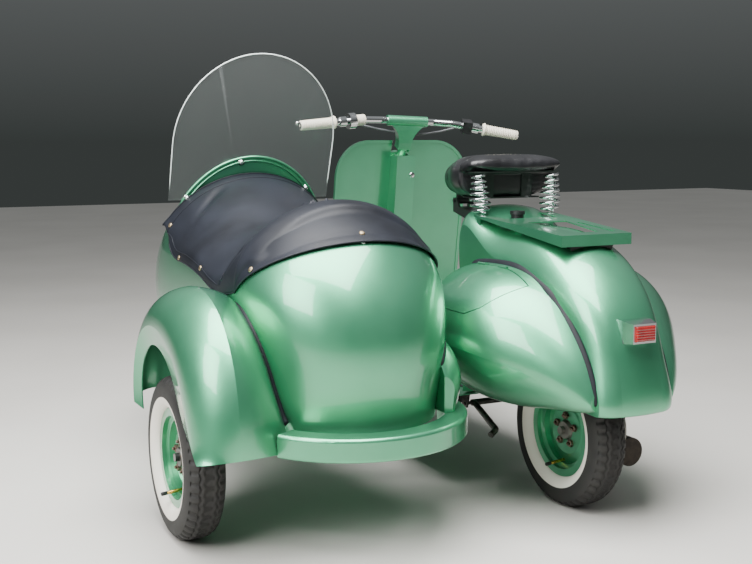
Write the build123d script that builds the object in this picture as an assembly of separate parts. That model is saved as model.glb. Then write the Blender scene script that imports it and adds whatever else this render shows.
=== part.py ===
from build123d import *
import os
from math import cos, radians, sin, sqrt, tan

# A step-through motor scooter with a single-seat sidecar on its left side.
# Millimetres. X points right, Y forward, Z up. The scooter's centre plane is x = 0,
# its rear axle is at y = 0 and the ground is z = 0 until the whole model is centred.

# Wheels
TYRE_R = 195.0
TYRE_W = 94.0
BEAD_R = 103.0
BEAD_HALF = 26.0
FLANGE_R = 118.0
RIM_WALL = 3.0
SEAT_GAP = 0.3
RUNNING_GAP = 0.1
AXLE_R = 10.0
STUD_R = 4.5
STUD_CIRCLE_R = 38.0
STUD_COUNT = 5
WHEELBASE = 1205.0
SIDE_WHEEL_X = -962.0
SIDE_WHEEL_Y = 201.0

# Steering
HEAD_Y = 910.0
HEAD_Z = 1001.0
RAKE = 20.5
BAR_TURN = -7.0
STEM_R = 16.0
HEAD_TUBE_R = 25.0
HEAD_TUBE_LOW_Z = 490.0
HEAD_TUBE_TOP_Z = 893.0
BAR_R = 11.0
BAR_HALF = 372.0
BAR_BACK = 61.0
BAR_DROP = 11.0
GRIP_R = 16.5
GRIP_LENGTH = 118.0

# Scooter frame
SHEET = 3.0
SHIELD_HALF = 238.0
SHIELD_TOP_Z = 940.0
SHIELD_TOP_Y = 958.0
SHIELD_LEAN = 9.0
SHIELD_WRAP = 28.0
SHIELD_CORNER_R = 118.0
SHIELD_BEND_R = 200.0
FLOOR_Z = 240.0
FLOOR_HALF = 226.0
FLOOR_REAR_Y = 300.0
TAIL_LIP_Z = 300.0
FAN_Y = 60.0

# Luggage rack and saddle
RACK_Z = 709.0
RACK_FRONT_Z = 738.0
RACK_REAR_Y = -104.0
RACK_FRONT_Y = 248.0
RACK_HALF_REAR = 105.0
RACK_HALF_FRONT = 125.0
RACK_FLANGE = 28.0
RACK_FLANGE_FRONT = 6.0
SPRING_X = 116.0
SPRING_Y = 265.0
SPRING_LOW_Z = 739.5
SPRING_TOP_Z = 851.0
SPRING_R = 30.0
SADDLE_HINGE_Y = 550.0
SADDLE_HINGE_Z = 762.0

# Sidecar
SIDE_X = -600.0
SIDE_WALL = 5.0
SIDE_FLOOR_Z = 290.0
FENDER_SHEET = 3.0
SCREEN_THICK = 4.0


def line(a, b):
    return Edge.make_line(a, b)


def arc(a, middle, b):
    return Edge.make_three_point_arc(a, middle, b)


def ring(points):
    """A closed wire of straight runs through the points."""
    return Wire([line(a, b) for a, b in zip(points, points[1:] + points[:1])])


def prism(points, direction):
    """The flat shape inside the points, pushed along a direction."""
    return Solid.extrude(Face(ring(points)), Vector(*direction))


def skin(wires):
    """A smooth solid through a row of closed outlines."""
    return Solid.make_loft(wires)


def rod(a, b, radius):
    """A round bar from a to b."""
    start, end = Vector(*a), Vector(*b)
    along = end - start
    return Solid.make_cylinder(radius, along.length, Plane(origin=start, z_dir=along))


def bent_tube(points, radius, bend_r):
    """A round bar along straight runs with rounded corners."""
    path = FilletPolyline(*points, radius=bend_r)
    start = path.edges()[0]
    plane = Plane(origin=path @ 0, z_dir=path % 0)
    return Solid.sweep(Face(Wire.make_circle(radius, plane)), Wire(path.edges()))


def axis_y(z):
    """Where the steering axis is, front to back, at a height."""
    return HEAD_Y + tan(radians(RAKE)) * (HEAD_Z - z)


STEER_UP = Vector(0, -sin(radians(RAKE)), cos(radians(RAKE)))
STEER_FRONT = Vector(0, cos(radians(RAKE)), sin(radians(RAKE)))
STEER_AXIS = Axis((0, HEAD_Y, HEAD_Z), STEER_UP)


def on_bar(x, forward, up):
    """A point of the straight-ahead handlebar, in the raked steering frame."""
    at = Vector(x, HEAD_Y, HEAD_Z) + STEER_FRONT * forward + STEER_UP * up
    return (at.X, at.Y, at.Z)


def steered(shape):
    """Turns a steering piece from straight ahead to its place at rest."""
    return shape.rotate(STEER_AXIS, BAR_TURN)


# Wheels: a balloon tyre on a pressed split rim, bolted to a hub by five studs
def spun(profile, x, y):
    """A profile of (x, radius) points or edges turned about a wheel's axle."""
    face = Face(Wire(profile))
    solid = Solid.revolve(face, 360, Axis.X)
    return Pos(x, y, TYRE_R) * solid


def tyre(x, y):
    half = TYRE_W / 2
    shoulder_x, shoulder_r = half - 9, TYRE_R - 9
    wide_r = BEAD_R + 47
    bead_top = FLANGE_R + 0.6
    right = [
        line((BEAD_HALF, BEAD_R, 0), (BEAD_HALF, bead_top, 0)),
        arc((BEAD_HALF, bead_top, 0), (half - 6, bead_top + 12, 0), (half, wide_r, 0)),
        arc((half, wide_r, 0), (half - 1.5, wide_r + 20, 0), (shoulder_x, shoulder_r, 0)),
    ]
    left = [edge.mirror(Plane.YZ) for edge in right]
    tread = arc((shoulder_x, shoulder_r, 0), (0, TYRE_R, 0), (-shoulder_x, shoulder_r, 0))
    base = line((-BEAD_HALF, BEAD_R, 0), (BEAD_HALF, BEAD_R, 0))
    return spun(right + [tread] + left + [base], x, y)


def rim(x, y):
    seat = BEAD_R - SEAT_GAP
    wide = BEAD_HALF + SEAT_GAP
    well = seat - 11
    t = RIM_WALL
    outside = [
        (-wide - t, FLANGE_R), (-wide, FLANGE_R), (-wide, seat), (-16, seat), (-12, well),
        (12, well), (16, seat), (wide, seat), (wide, FLANGE_R), (wide + t, FLANGE_R),
    ]
    inside = [
        (wide + t, seat - t), (18, seat - t), (14, well - t), (6, well - t),
        (-4, 62), (-4, 27), (-4 - t, 27), (-4 - t, 62),
        (2, well - t), (-14, well - t), (-18, seat - t), (-wide - t, seat - t),
    ]
    points = [(px, pr, 0) for px, pr in outside + inside]
    disc = spun([line(a, b) for a, b in zip(points, points[1:] + points[:1])], x, y)
    for k in range(STUD_COUNT):
        turn = radians(90 + 360 * k / STUD_COUNT)
        hole_y = y + STUD_CIRCLE_R * cos(turn)
        hole_z = TYRE_R + STUD_CIRCLE_R * sin(turn)
        disc -= rod((x - 12, hole_y, hole_z), (x + 8, hole_y, hole_z), STUD_R)
    return disc


# A hub's seat against the rim, and its outline from there towards its carrier
DISC_FACE_X = -4.0


def hub(x, y, side, drum_r, length):
    """A wheel hub or brake drum: side is +1 where it stands to the right of the disc."""
    near = (DISC_FACE_X + SEAT_GAP) if side > 0 else (DISC_FACE_X - RIM_WALL - SEAT_GAP)
    far = near + side * length
    bore = AXLE_R + RUNNING_GAP
    points = [
        (near, bore), (near, STUD_CIRCLE_R + 12), (near + side * 12, STUD_CIRCLE_R + 14),
        (near + side * 18, drum_r), (far, drum_r), (far, bore),
    ]
    points = [(px, pr, 0) for px, pr in points]
    body = spun([line(a, b) for a, b in zip(points, points[1:] + points[:1])], x, y)
    boss_end = near - side * (RIM_WALL + 2 * SEAT_GAP + 9)
    boss = [(near, bore, 0), (near, 26.5, 0), (boss_end, 22, 0), (boss_end, bore, 0)]
    body += spun([line(a, b) for a, b in zip(boss, boss[1:] + boss[:1])], x, y)
    return body


# Sidecar body: each row is one level plan of the hull, from the floor up
# height, tail y, tail radius, half width, nose y, nose length
HULL_ROWS = [
    (SIDE_FLOOR_Z, -142, 215, 214, 1150, 520),
    (411, -158, 234, 236, 1290, 600),
    (557, -150, 252, 250, 1290, 620),
    (660, -95, 240, 242, 1180, 530),
    (750, 8, 160, 210, 1010, 350),
    (820, 170, 70, 156, 900, 250),
    (874, 540, 40, 56, 790, 130),
]
HULL_TOP_Z = HULL_ROWS[-1][0]


def hull_plan(row, inset):
    z, tail_y, tail_r, half, nose_y, nose_length = row
    span = HULL_TOP_Z - SIDE_FLOOR_Z
    z += inset - 2 * inset * (z - SIDE_FLOOR_Z) / span
    r = tail_r - inset
    w = half - inset
    centre_y = tail_y + tail_r
    nose_start = nose_y - nose_length
    nose_plane = Plane(origin=(SIDE_X, nose_start, z))
    return Wire([
        arc((SIDE_X - r, centre_y, z), (SIDE_X, centre_y - r, z), (SIDE_X + r, centre_y, z)),
        line((SIDE_X + r, centre_y, z), (SIDE_X + w, nose_start, z)),
        Edge.make_ellipse(w, nose_length - inset, nose_plane, 0, 180),
        line((SIDE_X - w, nose_start, z), (SIDE_X - r, centre_y, z)),
    ])


def hull(inset=0.0):
    """The sidecar's closed outer form, or one a distance inside or outside it."""
    return skin([hull_plan(row, inset) for row in HULL_ROWS])


COCKPIT_SILL = [(56, 920), (92, 756), (130, 700), (215, 612), (300, 596), (470, 640), (660, 655),
                (751.5, 735), (685.6, 918)]


def cockpit_cut():
    """The opening for the passenger, seen from the side and cut right across."""
    x = SIDE_X - 300
    return prism([(x, y, z) for y, z in COCKPIT_SILL], (600, 0, 0))


def side_body():
    """The body's skin, open at the cockpit."""
    return (hull() - cockpit_cut()) - (hull(SIDE_WALL) - cockpit_cut())


# Windscreen and its flange: both lie in one plane that leans back from the coaming
SCREEN_FOOT_Y = 735.0
SCREEN_FOOT_Z = 780.0
SCREEN_LEAN = 19.8
SCREEN_HALF = 239.0
SCREEN_TOP = 420.0
SCREEN_SIDE = 159.0
SCREEN_LOW = -5.0
SCREEN_GAP = 1.0
FLANGE_THICK = 3.0
FLANGE_HALF = 250.0
FLANGE_TOP = 124.0
FLANGE_CENTRE = -194.5
FLANGE_LOW = -45.0
FLANGE_INNER_HALF = 225.0
FLANGE_INNER_TOP = 66.0
SCREEN_PLANE = Plane(
    origin=(SIDE_X, SCREEN_FOOT_Y, SCREEN_FOOT_Z),
    x_dir=(1, 0, 0),
    z_dir=(0, -cos(radians(SCREEN_LEAN)), -sin(radians(SCREEN_LEAN))),
)


def on_screen(x, up, back=0.0):
    """A point of the leaning plane: across, up the slope, and behind it."""
    at = SCREEN_PLANE.origin + SCREEN_PLANE.x_dir * x
    at += SCREEN_PLANE.z_dir * back + SCREEN_PLANE.y_dir * up
    return (at.X, at.Y, at.Z)


def arched_slab(half, top, spring, low, thick, back):
    """A slab in the leaning plane: a half ellipse above its spring line, straight below it."""
    plane = SCREEN_PLANE
    centre = Plane(origin=on_screen(0, spring, back), x_dir=plane.x_dir, z_dir=plane.z_dir)
    edges = [Edge.make_ellipse(half, top - spring, centre, 0, 180)]
    if low < spring:
        edges.append(line(on_screen(-half, spring, back), on_screen(-half, low, back)))
        edges.append(line(on_screen(-half, low, back), on_screen(half, low, back)))
        edges.append(line(on_screen(half, low, back), on_screen(half, spring, back)))
    else:
        edges.append(line(on_screen(-half, spring, back), on_screen(half, spring, back)))
    return Solid.extrude(Face(Wire(edges)), plane.z_dir * thick)


def coaming():
    """The arched flange on the cockpit's front edge, which the windscreen bolts to."""
    outer = arched_slab(FLANGE_HALF, FLANGE_TOP, FLANGE_CENTRE, FLANGE_CENTRE, FLANGE_THICK, 0)
    inner = arched_slab(FLANGE_INNER_HALF, FLANGE_INNER_TOP, FLANGE_CENTRE, FLANGE_CENTRE, 20, -5)
    below = SCREEN_PLANE * Pos(0, FLANGE_LOW - 200, 0) * Box(700, 400, 60)
    return outer - inner - below


def windscreen():
    """The clear sheet in front of the flange, cut out along its foot to pass over the body."""
    front = -SEAT_GAP - SCREEN_THICK
    sheet = arched_slab(SCREEN_HALF, SCREEN_TOP, SCREEN_SIDE, SCREEN_LOW, SCREEN_THICK, front)
    return sheet - hull(-SCREEN_GAP) - Pos(0, 0, SCREEN_GAP) * hull()


# Fastened tonneau cover: each row is one section square to the hull's length
# y, crest height, shoulder half width, shoulder height, hem height
COVER_ROWS = [
    (54, 790, 186, 709, 676),
    (100, 794, 205, 710, 652),
    (150, 790, 219, 704, 625),
    (190, 772, 250, 654, 604),
    (245, 744, 254, 616, 568),
    (310, 731, 255, 605, 576),
    (410, 742, 253, 628, 600),
    (530, 786, 250, 650, 616),
    (640, 826, 248, 657, 622),
    (705, 850, 238, 702, 660),
    (770, 868, 214, 756, 712),
]
COVER_THICK = 3.5
COVER_HALF = 256.0
COVER_HEM = [(-70, 930), (-60, 716), (58, 674), (58, 930)]


def cover_section(row):
    y, crest, shoulder, shoulder_z, hem = row
    t = COVER_THICK

    def at(x, z):
        return (SIDE_X + x, y, z)

    return Wire([
        line(at(-COVER_HALF, hem), at(-shoulder, shoulder_z)),
        arc(at(-shoulder, shoulder_z), at(0, crest), at(shoulder, shoulder_z)),
        line(at(shoulder, shoulder_z), at(COVER_HALF, hem)),
        line(at(COVER_HALF, hem), at(COVER_HALF - t, hem)),
        line(at(COVER_HALF - t, hem), at(shoulder - t, shoulder_z - t)),
        arc(at(shoulder - t, shoulder_z - t), at(0, crest - t), at(t - shoulder, shoulder_z - t)),
        line(at(t - shoulder, shoulder_z - t), at(t - COVER_HALF, hem)),
        line(at(t - COVER_HALF, hem), at(-COVER_HALF, hem)),
    ])


def side_cover():
    """The fastened tonneau cover as one plain closed sheet over the cockpit."""
    x = SIDE_X - 320
    above_hem = prism([(x, y, z) for y, z in COVER_HEM], (640, 0, 0))
    cap = (hull(-COVER_THICK) & above_hem) - hull(-SEAT_GAP)
    panel = skin([cover_section(row) for row in COVER_ROWS])
    ahead = SCREEN_PLANE.offset(FLANGE_THICK + 1) * Pos(0, 0, -200) * Box(900, 900, 400)
    return cap + (panel - ahead) - hull_shell_space()


def hull_shell_space():
    """The hull's wall and what lies just outside it, which the cover stays clear of."""
    wall = hull(-SEAT_GAP) - hull(SIDE_WALL + SEAT_GAP)
    return wall - cockpit_cut()


# Sidecar mudguard: each row is one section in a plane through the wheel's axle
# angle from straight ahead, body side x, body side radius, crown radius, edge radius
FENDER_ROWS = [
    (22, -852, 268, 300, 210),
    (45, -856, 318, 348, 262),
    (70, -858, 352, 388, 274),
    (95, -856, 362, 412, 248),
    (120, -850, 312, 424, 214),
    (145, -838, 272, 392, 205),
    (168, -822, 262, 345, 300),
]
FENDER_HEM_GAP = 1.0
FENDER_HEM_DROP = 9.0
FENDER_CROWN_X = -938.0
FENDER_OUT_X = -1026.0


def fender_section(row, x_inner, thick):
    turn, body_x, body_r, crown_r, edge_r = row
    c, s = cos(radians(turn)), sin(radians(turn))

    def at(x, r):
        return (x, SIDE_WHEEL_Y + r * c, TYRE_R + r * s)

    def curve(t):
        inner = at(body_x + x_inner, body_r - t)
        crown = at(FENDER_CROWN_X, crown_r - t)
        outer = at(FENDER_OUT_X + t, crown_r - 0.62 * (crown_r - edge_r))
        edge = at(FENDER_OUT_X + 14 + t, edge_r)
        mid_in = at((body_x + x_inner + FENDER_CROWN_X) / 2, (body_r + 2.2 * crown_r) / 3.2 - t)
        mid_out = at(FENDER_OUT_X + 22 + 0.6 * t, crown_r - 0.2 * (crown_r - edge_r) - 0.6 * t)
        return inner, mid_in, crown, mid_out, outer, edge

    a = curve(0)
    b = curve(thick)
    return Wire([
        arc(a[0], a[1], a[2]), arc(a[2], a[3], a[4]), line(a[4], a[5]), line(a[5], b[5]),
        line(b[5], b[4]), arc(b[4], b[3], b[2]), arc(b[2], b[1], b[0]), line(b[0], a[0]),
    ])


def side_fender():
    """The sidecar wheel's mudguard, which runs in to the body under the cover's hem."""
    shell = skin([fender_section(row, 30, FENDER_SHEET) for row in FENDER_ROWS])
    hem = [(row[0], row[4] - FENDER_HEM_DROP) for row in COVER_ROWS]
    flank_x = SIDE_X - COVER_HALF - FENDER_HEM_GAP
    flank = [(flank_x, y, z) for y, z in [(hem[0][0] - 60, hem[0][1]), *hem, (hem[-1][0], 900), (40, 900)]]
    return shell - hull(-SEAT_GAP) - prism(flank, (120, 0, 0))


# Sidecar bumper: one pressed bar round the tail, with a flat top and a flat upright face
BUMPER_Z = 277.0
BUMPER_HIGH = 54.0
BUMPER_DEEP = 52.0
BUMPER_R = 283.0
BUMPER_CENTRE_Y = 52.0
BUMPER_TOP_R = 9.0
BUMPER_FOOT_R = 7.0
BUMPER_GAP = 3.0
# plan of what lies ahead of the bumper's left end, along the mudguard's tail
BUMPER_END = [(-700, -19), (-950, -158), (-950, 400), (-700, 400)]


def side_bumper():
    z, r = BUMPER_Z, BUMPER_R
    inner = r - BUMPER_DEEP
    top, foot = z + BUMPER_HIGH / 2, z - BUMPER_HIGH / 2
    c, d = BUMPER_TOP_R, BUMPER_FOOT_R
    k = 1 - sqrt(0.5)
    profile = [
        line((inner, 0, foot), (inner, 0, top)),
        line((inner, 0, top), (r - c, 0, top)),
        arc((r - c, 0, top), (r - c * k, 0, top - c * k), (r, 0, top - c)),
        line((r, 0, top - c), (r, 0, foot + d)),
        arc((r, 0, foot + d), (r - d * k, 0, foot + d * k), (r - d, 0, foot)),
        line((r - d, 0, foot), (inner, 0, foot)),
    ]
    bar = Solid.revolve(Face(Wire(profile)), 176, Axis.Z).rotate(Axis.Z, -180)
    end = Solid.revolve(Face(Wire(profile)), 176, Axis.Z).rotate(Axis.Z, 180)
    bar = Pos(SIDE_X, BUMPER_CENTRE_Y, 0) * (bar if bar.center().Y < 0 else end)
    beyond = prism([(x, y, z - BUMPER_HIGH) for x, y in BUMPER_END], (0, 0, 2 * BUMPER_HIGH))
    return bar - hull(-BUMPER_GAP) - beyond


# Slim fairing on the body's right flank, opposite the mudguard
# y, top height, widest height, x of the widest point
FAIRING_ROWS = [
    (-92, 392, 350, -394),
    (-50, 440, 360, -352),
    (20, 486, 370, -330),
    (130, 506, 385, -335),
    (260, 490, 380, -338),
    (370, 440, 365, -342),
    (440, 380, 345, -350),
]
FAIRING_LOW_Z = BUMPER_Z + BUMPER_HIGH / 2 + SEAT_GAP
FAIRING_ROOT_X = -420.0


def fairing_section(row):
    y, top, widest, out = row
    low = FAIRING_LOW_Z
    root = FAIRING_ROOT_X
    high_x = root + 0.78 * (out - root)
    low_x = root + 0.92 * (out - root)
    return Wire([
        arc((root, y, top), (high_x, y, (widest + 2 * top) / 3), (out, y, widest)),
        arc((out, y, widest), (low_x, y, (widest + low) / 2), (root + 0.8 * (out - root), y, low)),
        line((root + 0.8 * (out - root), y, low), (root, y, low)),
        line((root, y, low), (root, y, top)),
    ])


def side_fairing():
    return skin([fairing_section(row) for row in FAIRING_ROWS]) - hull(-SEAT_GAP)


# Sidecar chassis under the body, with the wheel's stub axle and the struts
RAIL_R = 16.0
RAIL_X = (-745.0, -455.0)
RAIL_Z = 268.0
STRUT_R = 13.0
STRUT_Y = (400.0, 640.0)
STRUT_KNEE_X = -250.0
STRUT_END_X = -80.0
SIDE_HUB_LENGTH = 60.0
RAIL_START_Y = 30.0
RAIL_END_Y = 940.0
CROSS_Y = (90.0, 261.0, 620.0, 900.0)
CROSS_R = 14.0
AXLE_SHOULDER = 6.0
ARM_LENGTH = 190.0
ARM_R = 13.0


def side_chassis():
    """Two rails under the body, joined by cross tubes, with the axle arm and the struts."""
    low = SIDE_FLOOR_Z - SEAT_GAP - RAIL_R
    left, right = RAIL_X
    frame = rod((left, RAIL_START_Y, low), (left, RAIL_END_Y, low), RAIL_R)
    frame += rod((right, RAIL_START_Y, low), (right, RAIL_END_Y, low), RAIL_R)
    for y in CROSS_Y:
        frame += rod((left, y, low), (right, y, low), CROSS_R)
    under_z = FLOOR_Z - TRAY_FLANGE - STRUT_R - 2
    seat_z = FLOOR_Z - SHEET - SEAT_GAP
    for y in STRUT_Y:
        frame += rod((right + 4, y, low - 1), (STRUT_KNEE_X + 4, y, under_z - 1), STRUT_R)
        frame += rod((STRUT_KNEE_X - 6, y, under_z), (STRUT_END_X, y, under_z), STRUT_R)
        frame += Pos(STRUT_END_X - 20, y, (under_z + seat_z) / 2) * Box(44, 34, seat_z - under_z)
    axle_x, axle_y = SIDE_WHEEL_X + DISC_FACE_X, SIDE_WHEEL_Y
    arm_x = axle_x + SEAT_GAP + SIDE_HUB_LENGTH + AXLE_SHOULDER
    frame += rod((axle_x - 22, axle_y, TYRE_R), (arm_x + 14, axle_y, TYRE_R), AXLE_R)
    frame += rod((arm_x + 14, axle_y - 14, TYRE_R), (arm_x + 14, axle_y + ARM_LENGTH, low), ARM_R)
    frame += rod((arm_x + 10, axle_y + ARM_LENGTH - 2, low), (left, axle_y + ARM_LENGTH - 2, low), ARM_R + 2)
    frame += rod((arm_x, axle_y, TYRE_R), (arm_x + 28, axle_y, TYRE_R), 2 * AXLE_R)
    return frame


# Scooter spine: each row is one arched section of the shell that sweeps over the
# rear wheel, in a plane through a crosswise line at (FAN_Y, TAIL_LIP_Z)
# angle from straight ahead, radius, half width, drop of the crown to the sides
SPINE_ROWS = [
    (-11.96, 291, 137, 36),
    (3, 285, 138, 38),
    (24, 318, 138, 44),
    (40, 382, 138, 48),
    (51, 482, 138, 50),
    (58, 536, 138, 56),
    (69, 460, 139, 80),
    (90, 415, 140, 91),
    (115, 402, 133, 90),
    (138, 384, 117, 78),
    (160, 360, 107, 48),
    (181, 345, 104, 36),
]
SPINE_ROOT_R = 60.0


def spine_section(row, inset):
    turn, radius, half, drop = row
    c, s = cos(radians(turn)), sin(radians(turn))
    root = SPINE_ROOT_R - 2 * abs(inset)

    def at(x, r):
        return (x, FAN_Y + r * c, TAIL_LIP_Z + r * s)

    w = half - inset
    top = radius - inset
    side = radius - drop
    knee_x, knee_r = 0.86 * w, top - 0.50 * (drop - inset)
    deck_x, deck_r = 0.55 * w, top - 0.155 * (drop - inset)
    return [
        line(at(-w, root), at(-w, side)),
        arc(at(-w, side), at(-knee_x, knee_r), at(-deck_x, deck_r)),
        arc(at(-deck_x, deck_r), at(0, top), at(deck_x, deck_r)),
        arc(at(deck_x, deck_r), at(knee_x, knee_r), at(w, side)),
        line(at(w, side), at(w, root)),
        line(at(w, root), at(-w, root)),
    ]


def spine(inset):
    return skin([Wire(spine_section(row, inset)) for row in SPINE_ROWS])


ENGINE_SIDE_OPENING = (-70.0, 210.0, 250.0, 520.0)


def rear_body():
    """The shell over the rear wheel, open underneath and beside the engine."""
    y0, y1, z0, z1 = ENGINE_SIDE_OPENING
    opening = Pos(150, (y0 + y1) / 2, (z0 + z1) / 2) * Box(60, y1 - y0, z1 - z0)
    return spine(0) - spine(SHEET) - opening


# Cowls: each row is one section of the left blister, mirrored for the right
# y, top height, widest height, bottom height, bulge beyond the spine's side
COWL_ROWS = [
    (322, 522, 470, 418, 40),
    (290, 586, 455, 338, 118),
    (220, 617, 440, 294, 166),
    (110, 624, 435, 281, 181),
    (10, 617, 428, 278, 173),
    (-90, 574, 405, 284, 136),
    (-170, 502, 375, 292, 86),
    (-230, 415, 345, 300, 42),
    (-254, 350, 326, 306, 16),
]
COWL_GAP = 0.5
COWL_ROOT_X = 140.0 + 2 * COWL_GAP
COWL_TAIL_X = 106.0 + COWL_GAP
COWL_TAPER_Y = 20.0


def cowl_root(y):
    """The spine's half width beside the cowl."""
    run = COWL_TAPER_Y - COWL_ROWS[-1][0]
    share = max(0.0, (COWL_TAPER_Y - y) / run)
    return COWL_ROOT_X - (COWL_ROOT_X - COWL_TAIL_X) * share


def cowl_section(row, side, inset, back):
    """One section of the blister: `back` is how far its flat side stands out from the spine."""
    y, top, widest, bottom, bulge = row
    root = cowl_root(y)
    high, low = top - inset - widest, widest - bottom - inset
    out = bulge - inset
    near = back
    knee = near + (out - near) * sqrt(0.5)
    k = sqrt(0.5)

    def at(x, z):
        return (side * (root + x), y, z)

    return Wire([
        arc(at(near, widest + high), at(knee, widest + high * k), at(out, widest)),
        arc(at(out, widest), at(knee, widest - low * k), at(near, widest - low)),
        line(at(near, widest - low), at(near, widest + high)),
    ])


def cowl_form(side):
    """A cowl's outside, with its flat side cut to follow the spine."""
    form = skin([cowl_section(row, side, 0, -COWL_BACK) for row in COWL_ROWS])
    return form - spine(-COWL_GAP)


def cowl_hollow(side):
    """The space inside a cowl: the same rows inset and drawn in at both ends."""
    first, last = COWL_ROWS[0][0], COWL_ROWS[-1][0]
    rows = []
    for row in COWL_ROWS:
        share = (row[0] - last) / (first - last)
        rows.append((row[0] + COWL_END_WALL * (1 - 2 * share), *row[1:]))
    return skin([cowl_section(row, side, SHEET, -COWL_BACK) for row in rows])


COWL_END_WALL = 4.0
COWL_BACK = 16.0
COWL_WINDOW = (-20.0, 180.0, 302.0, 500.0)
# The toolbox lid's outline seen from the side, and where it ends towards the spine
LID_OUTLINE = [(352, 520), (30, 514), (-8, 532), (-62, 592), (-40, 640), (352, 640)]
LID_INNER_X = -165.0
LID_GAP = 2.0
LID_HINGE_GAP = 3.0
# The lid's two hinges: where each middle knuckle is, and the sizes of knuckles and pin
HINGE_X = LID_INNER_X - LID_HINGE_GAP / 2
HINGE_Z = 619.5
HINGE_Y = (60.0, 160.0)
KNUCKLE_R = 4.0
KNUCKLE_LENGTH = 12.0
HINGE_PIN_R = 2.0


def lid_prism(gap):
    """The lid's outline pushed out through the cowl, drawn in all round by a gap."""
    start = LID_INNER_X - (LID_HINGE_GAP if gap else 0)
    outline = Face(ring([(start, y, z) for y, z in LID_OUTLINE]))
    if gap:
        outline = offset(outline, amount=-gap).faces()[0]
    return Solid.extrude(outline, Vector(-260, 0, 0))


def cowl_space(side):
    """A cowl's hollow, which its own flat side closes off from the spine."""
    first, last = COWL_ROWS[0][0] + 20, COWL_ROWS[-1][0] - 20
    back = [(0, first)]
    back += [(side * (cowl_root(y) + COWL_GAP + SHEET), y) for y in (first, COWL_TAPER_Y, last)]
    back.append((0, last))
    wall = prism([(x, y, 200) for x, y in back], (0, 0, 500))
    return cowl_hollow(side) - wall


def hinge_rods(radius, middle, spare=0.0):
    """Both hinges' middle knuckles, or the outer pair of each, as rods along the lid's edge."""
    half = KNUCKLE_LENGTH / 2
    runs = [(-half, half)] if middle else [(-3 * half, -half - SEAT_GAP), (half + SEAT_GAP, 3 * half)]
    return [
        rod((HINGE_X, y + a - spare, HINGE_Z), (HINGE_X, y + b + spare, HINGE_Z), radius)
        for y in HINGE_Y for a, b in runs
    ]


def hinge_pins(radius):
    reach = 1.5 * KNUCKLE_LENGTH
    return [rod((HINGE_X, y - reach, HINGE_Z), (HINGE_X, y + reach, HINGE_Z), radius) for y in HINGE_Y]


def left_cowl():
    """The cowl over the toolbox, with the fixed knuckles and pins of its lid's hinges."""
    cowl = cowl_form(-1) - cowl_space(-1) - lid_prism(0)
    for space in hinge_rods(KNUCKLE_R + 2 * SEAT_GAP, True, SEAT_GAP):
        cowl -= space
    for piece in hinge_rods(KNUCKLE_R, False) + hinge_pins(HINGE_PIN_R):
        cowl += piece
    return cowl


def toolbox_lid():
    """The lid that the cowl's side opens with, with its own knuckles round the pins."""
    lid = (cowl_form(-1) & lid_prism(LID_GAP)) - cowl_space(-1)
    for space in hinge_rods(KNUCKLE_R + 2 * SEAT_GAP, False, SEAT_GAP):
        lid -= space
    for piece in hinge_rods(KNUCKLE_R, True):
        lid += piece
    for bore in hinge_pins(HINGE_PIN_R + RUNNING_GAP):
        lid -= bore
    return lid


def right_cowl():
    """The cowl over the engine, whose flat side is cut away round the cylinder."""
    y0, y1, z0, z1 = COWL_WINDOW
    window = Pos(COWL_ROOT_X, (y0 + y1) / 2, (z0 + z1) / 2) * Box(3 * COWL_BACK, y1 - y0, z1 - z0)
    return cowl_form(1) - cowl_space(1) - window


# Leg shield and floor
def shield_y(z):
    """The shield's centre line at a height above its lower bend."""
    return SHIELD_TOP_Y + tan(radians(SHIELD_LEAN)) * (SHIELD_TOP_Z - z)


BEND_Z = FLOOR_Z + SHIELD_BEND_R
BEND_TOP_Z = BEND_Z + SHIELD_BEND_R * sin(radians(SHIELD_LEAN))
BEND_Y = shield_y(BEND_TOP_Z) - SHIELD_BEND_R * cos(radians(SHIELD_LEAN))


def shield_band(turn, half, wrap, front, back):
    """The sheet's section at an angle round the lower bend: 0 is level with its centre."""
    c, s = cos(radians(turn)), sin(radians(turn))
    bow_r = (SHIELD_HALF ** 2 + wrap ** 2) / (2 * wrap)
    wrap = bow_r - sqrt(bow_r ** 2 - half ** 2)

    def at(x, out):
        r = SHIELD_BEND_R + out
        return (x, BEND_Y + r * c, BEND_Z + r * s)

    return [
        arc(at(-half, front - wrap), at(0, front), at(half, front - wrap)),
        line(at(half, front - wrap), at(half, -back - wrap)),
        arc(at(half, -back - wrap), at(0, -back), at(-half, -back - wrap)),
        line(at(-half, -back - wrap), at(-half, front - wrap)),
    ]


def shield_sheet(front, back, half):
    """The flat-leaning upper part of the shield, before its outline is cut."""
    band = Face(Wire(shield_band(SHIELD_LEAN, half, SHIELD_WRAP, front, back)))
    up = Vector(0, -sin(radians(SHIELD_LEAN)), cos(radians(SHIELD_LEAN)))
    return Solid.extrude(band, up * 560)


def shield_outline(inset):
    """The shield's front-view outline, pushed through along Y."""
    half, top = SHIELD_HALF - inset, SHIELD_TOP_Z - inset
    r = SHIELD_CORNER_R - inset
    k = r * (1 - sqrt(0.5))
    low = BEND_TOP_Z - 10
    y = 700

    def at(x, z):
        return (x, y, z)

    edges = [
        line(at(-half, low), at(-half, top - r)),
        arc(at(-half, top - r), at(-half + k, top - k), at(-half + r, top)),
        line(at(-half + r, top), at(half - r, top)),
        arc(at(half - r, top), at(half - k, top - k), at(half, top - r)),
        line(at(half, top - r), at(half, low)),
        line(at(half, low), at(-half, low)),
    ]
    return Solid.extrude(Face(Wire(edges)), Vector(0, 500, 0))


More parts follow.
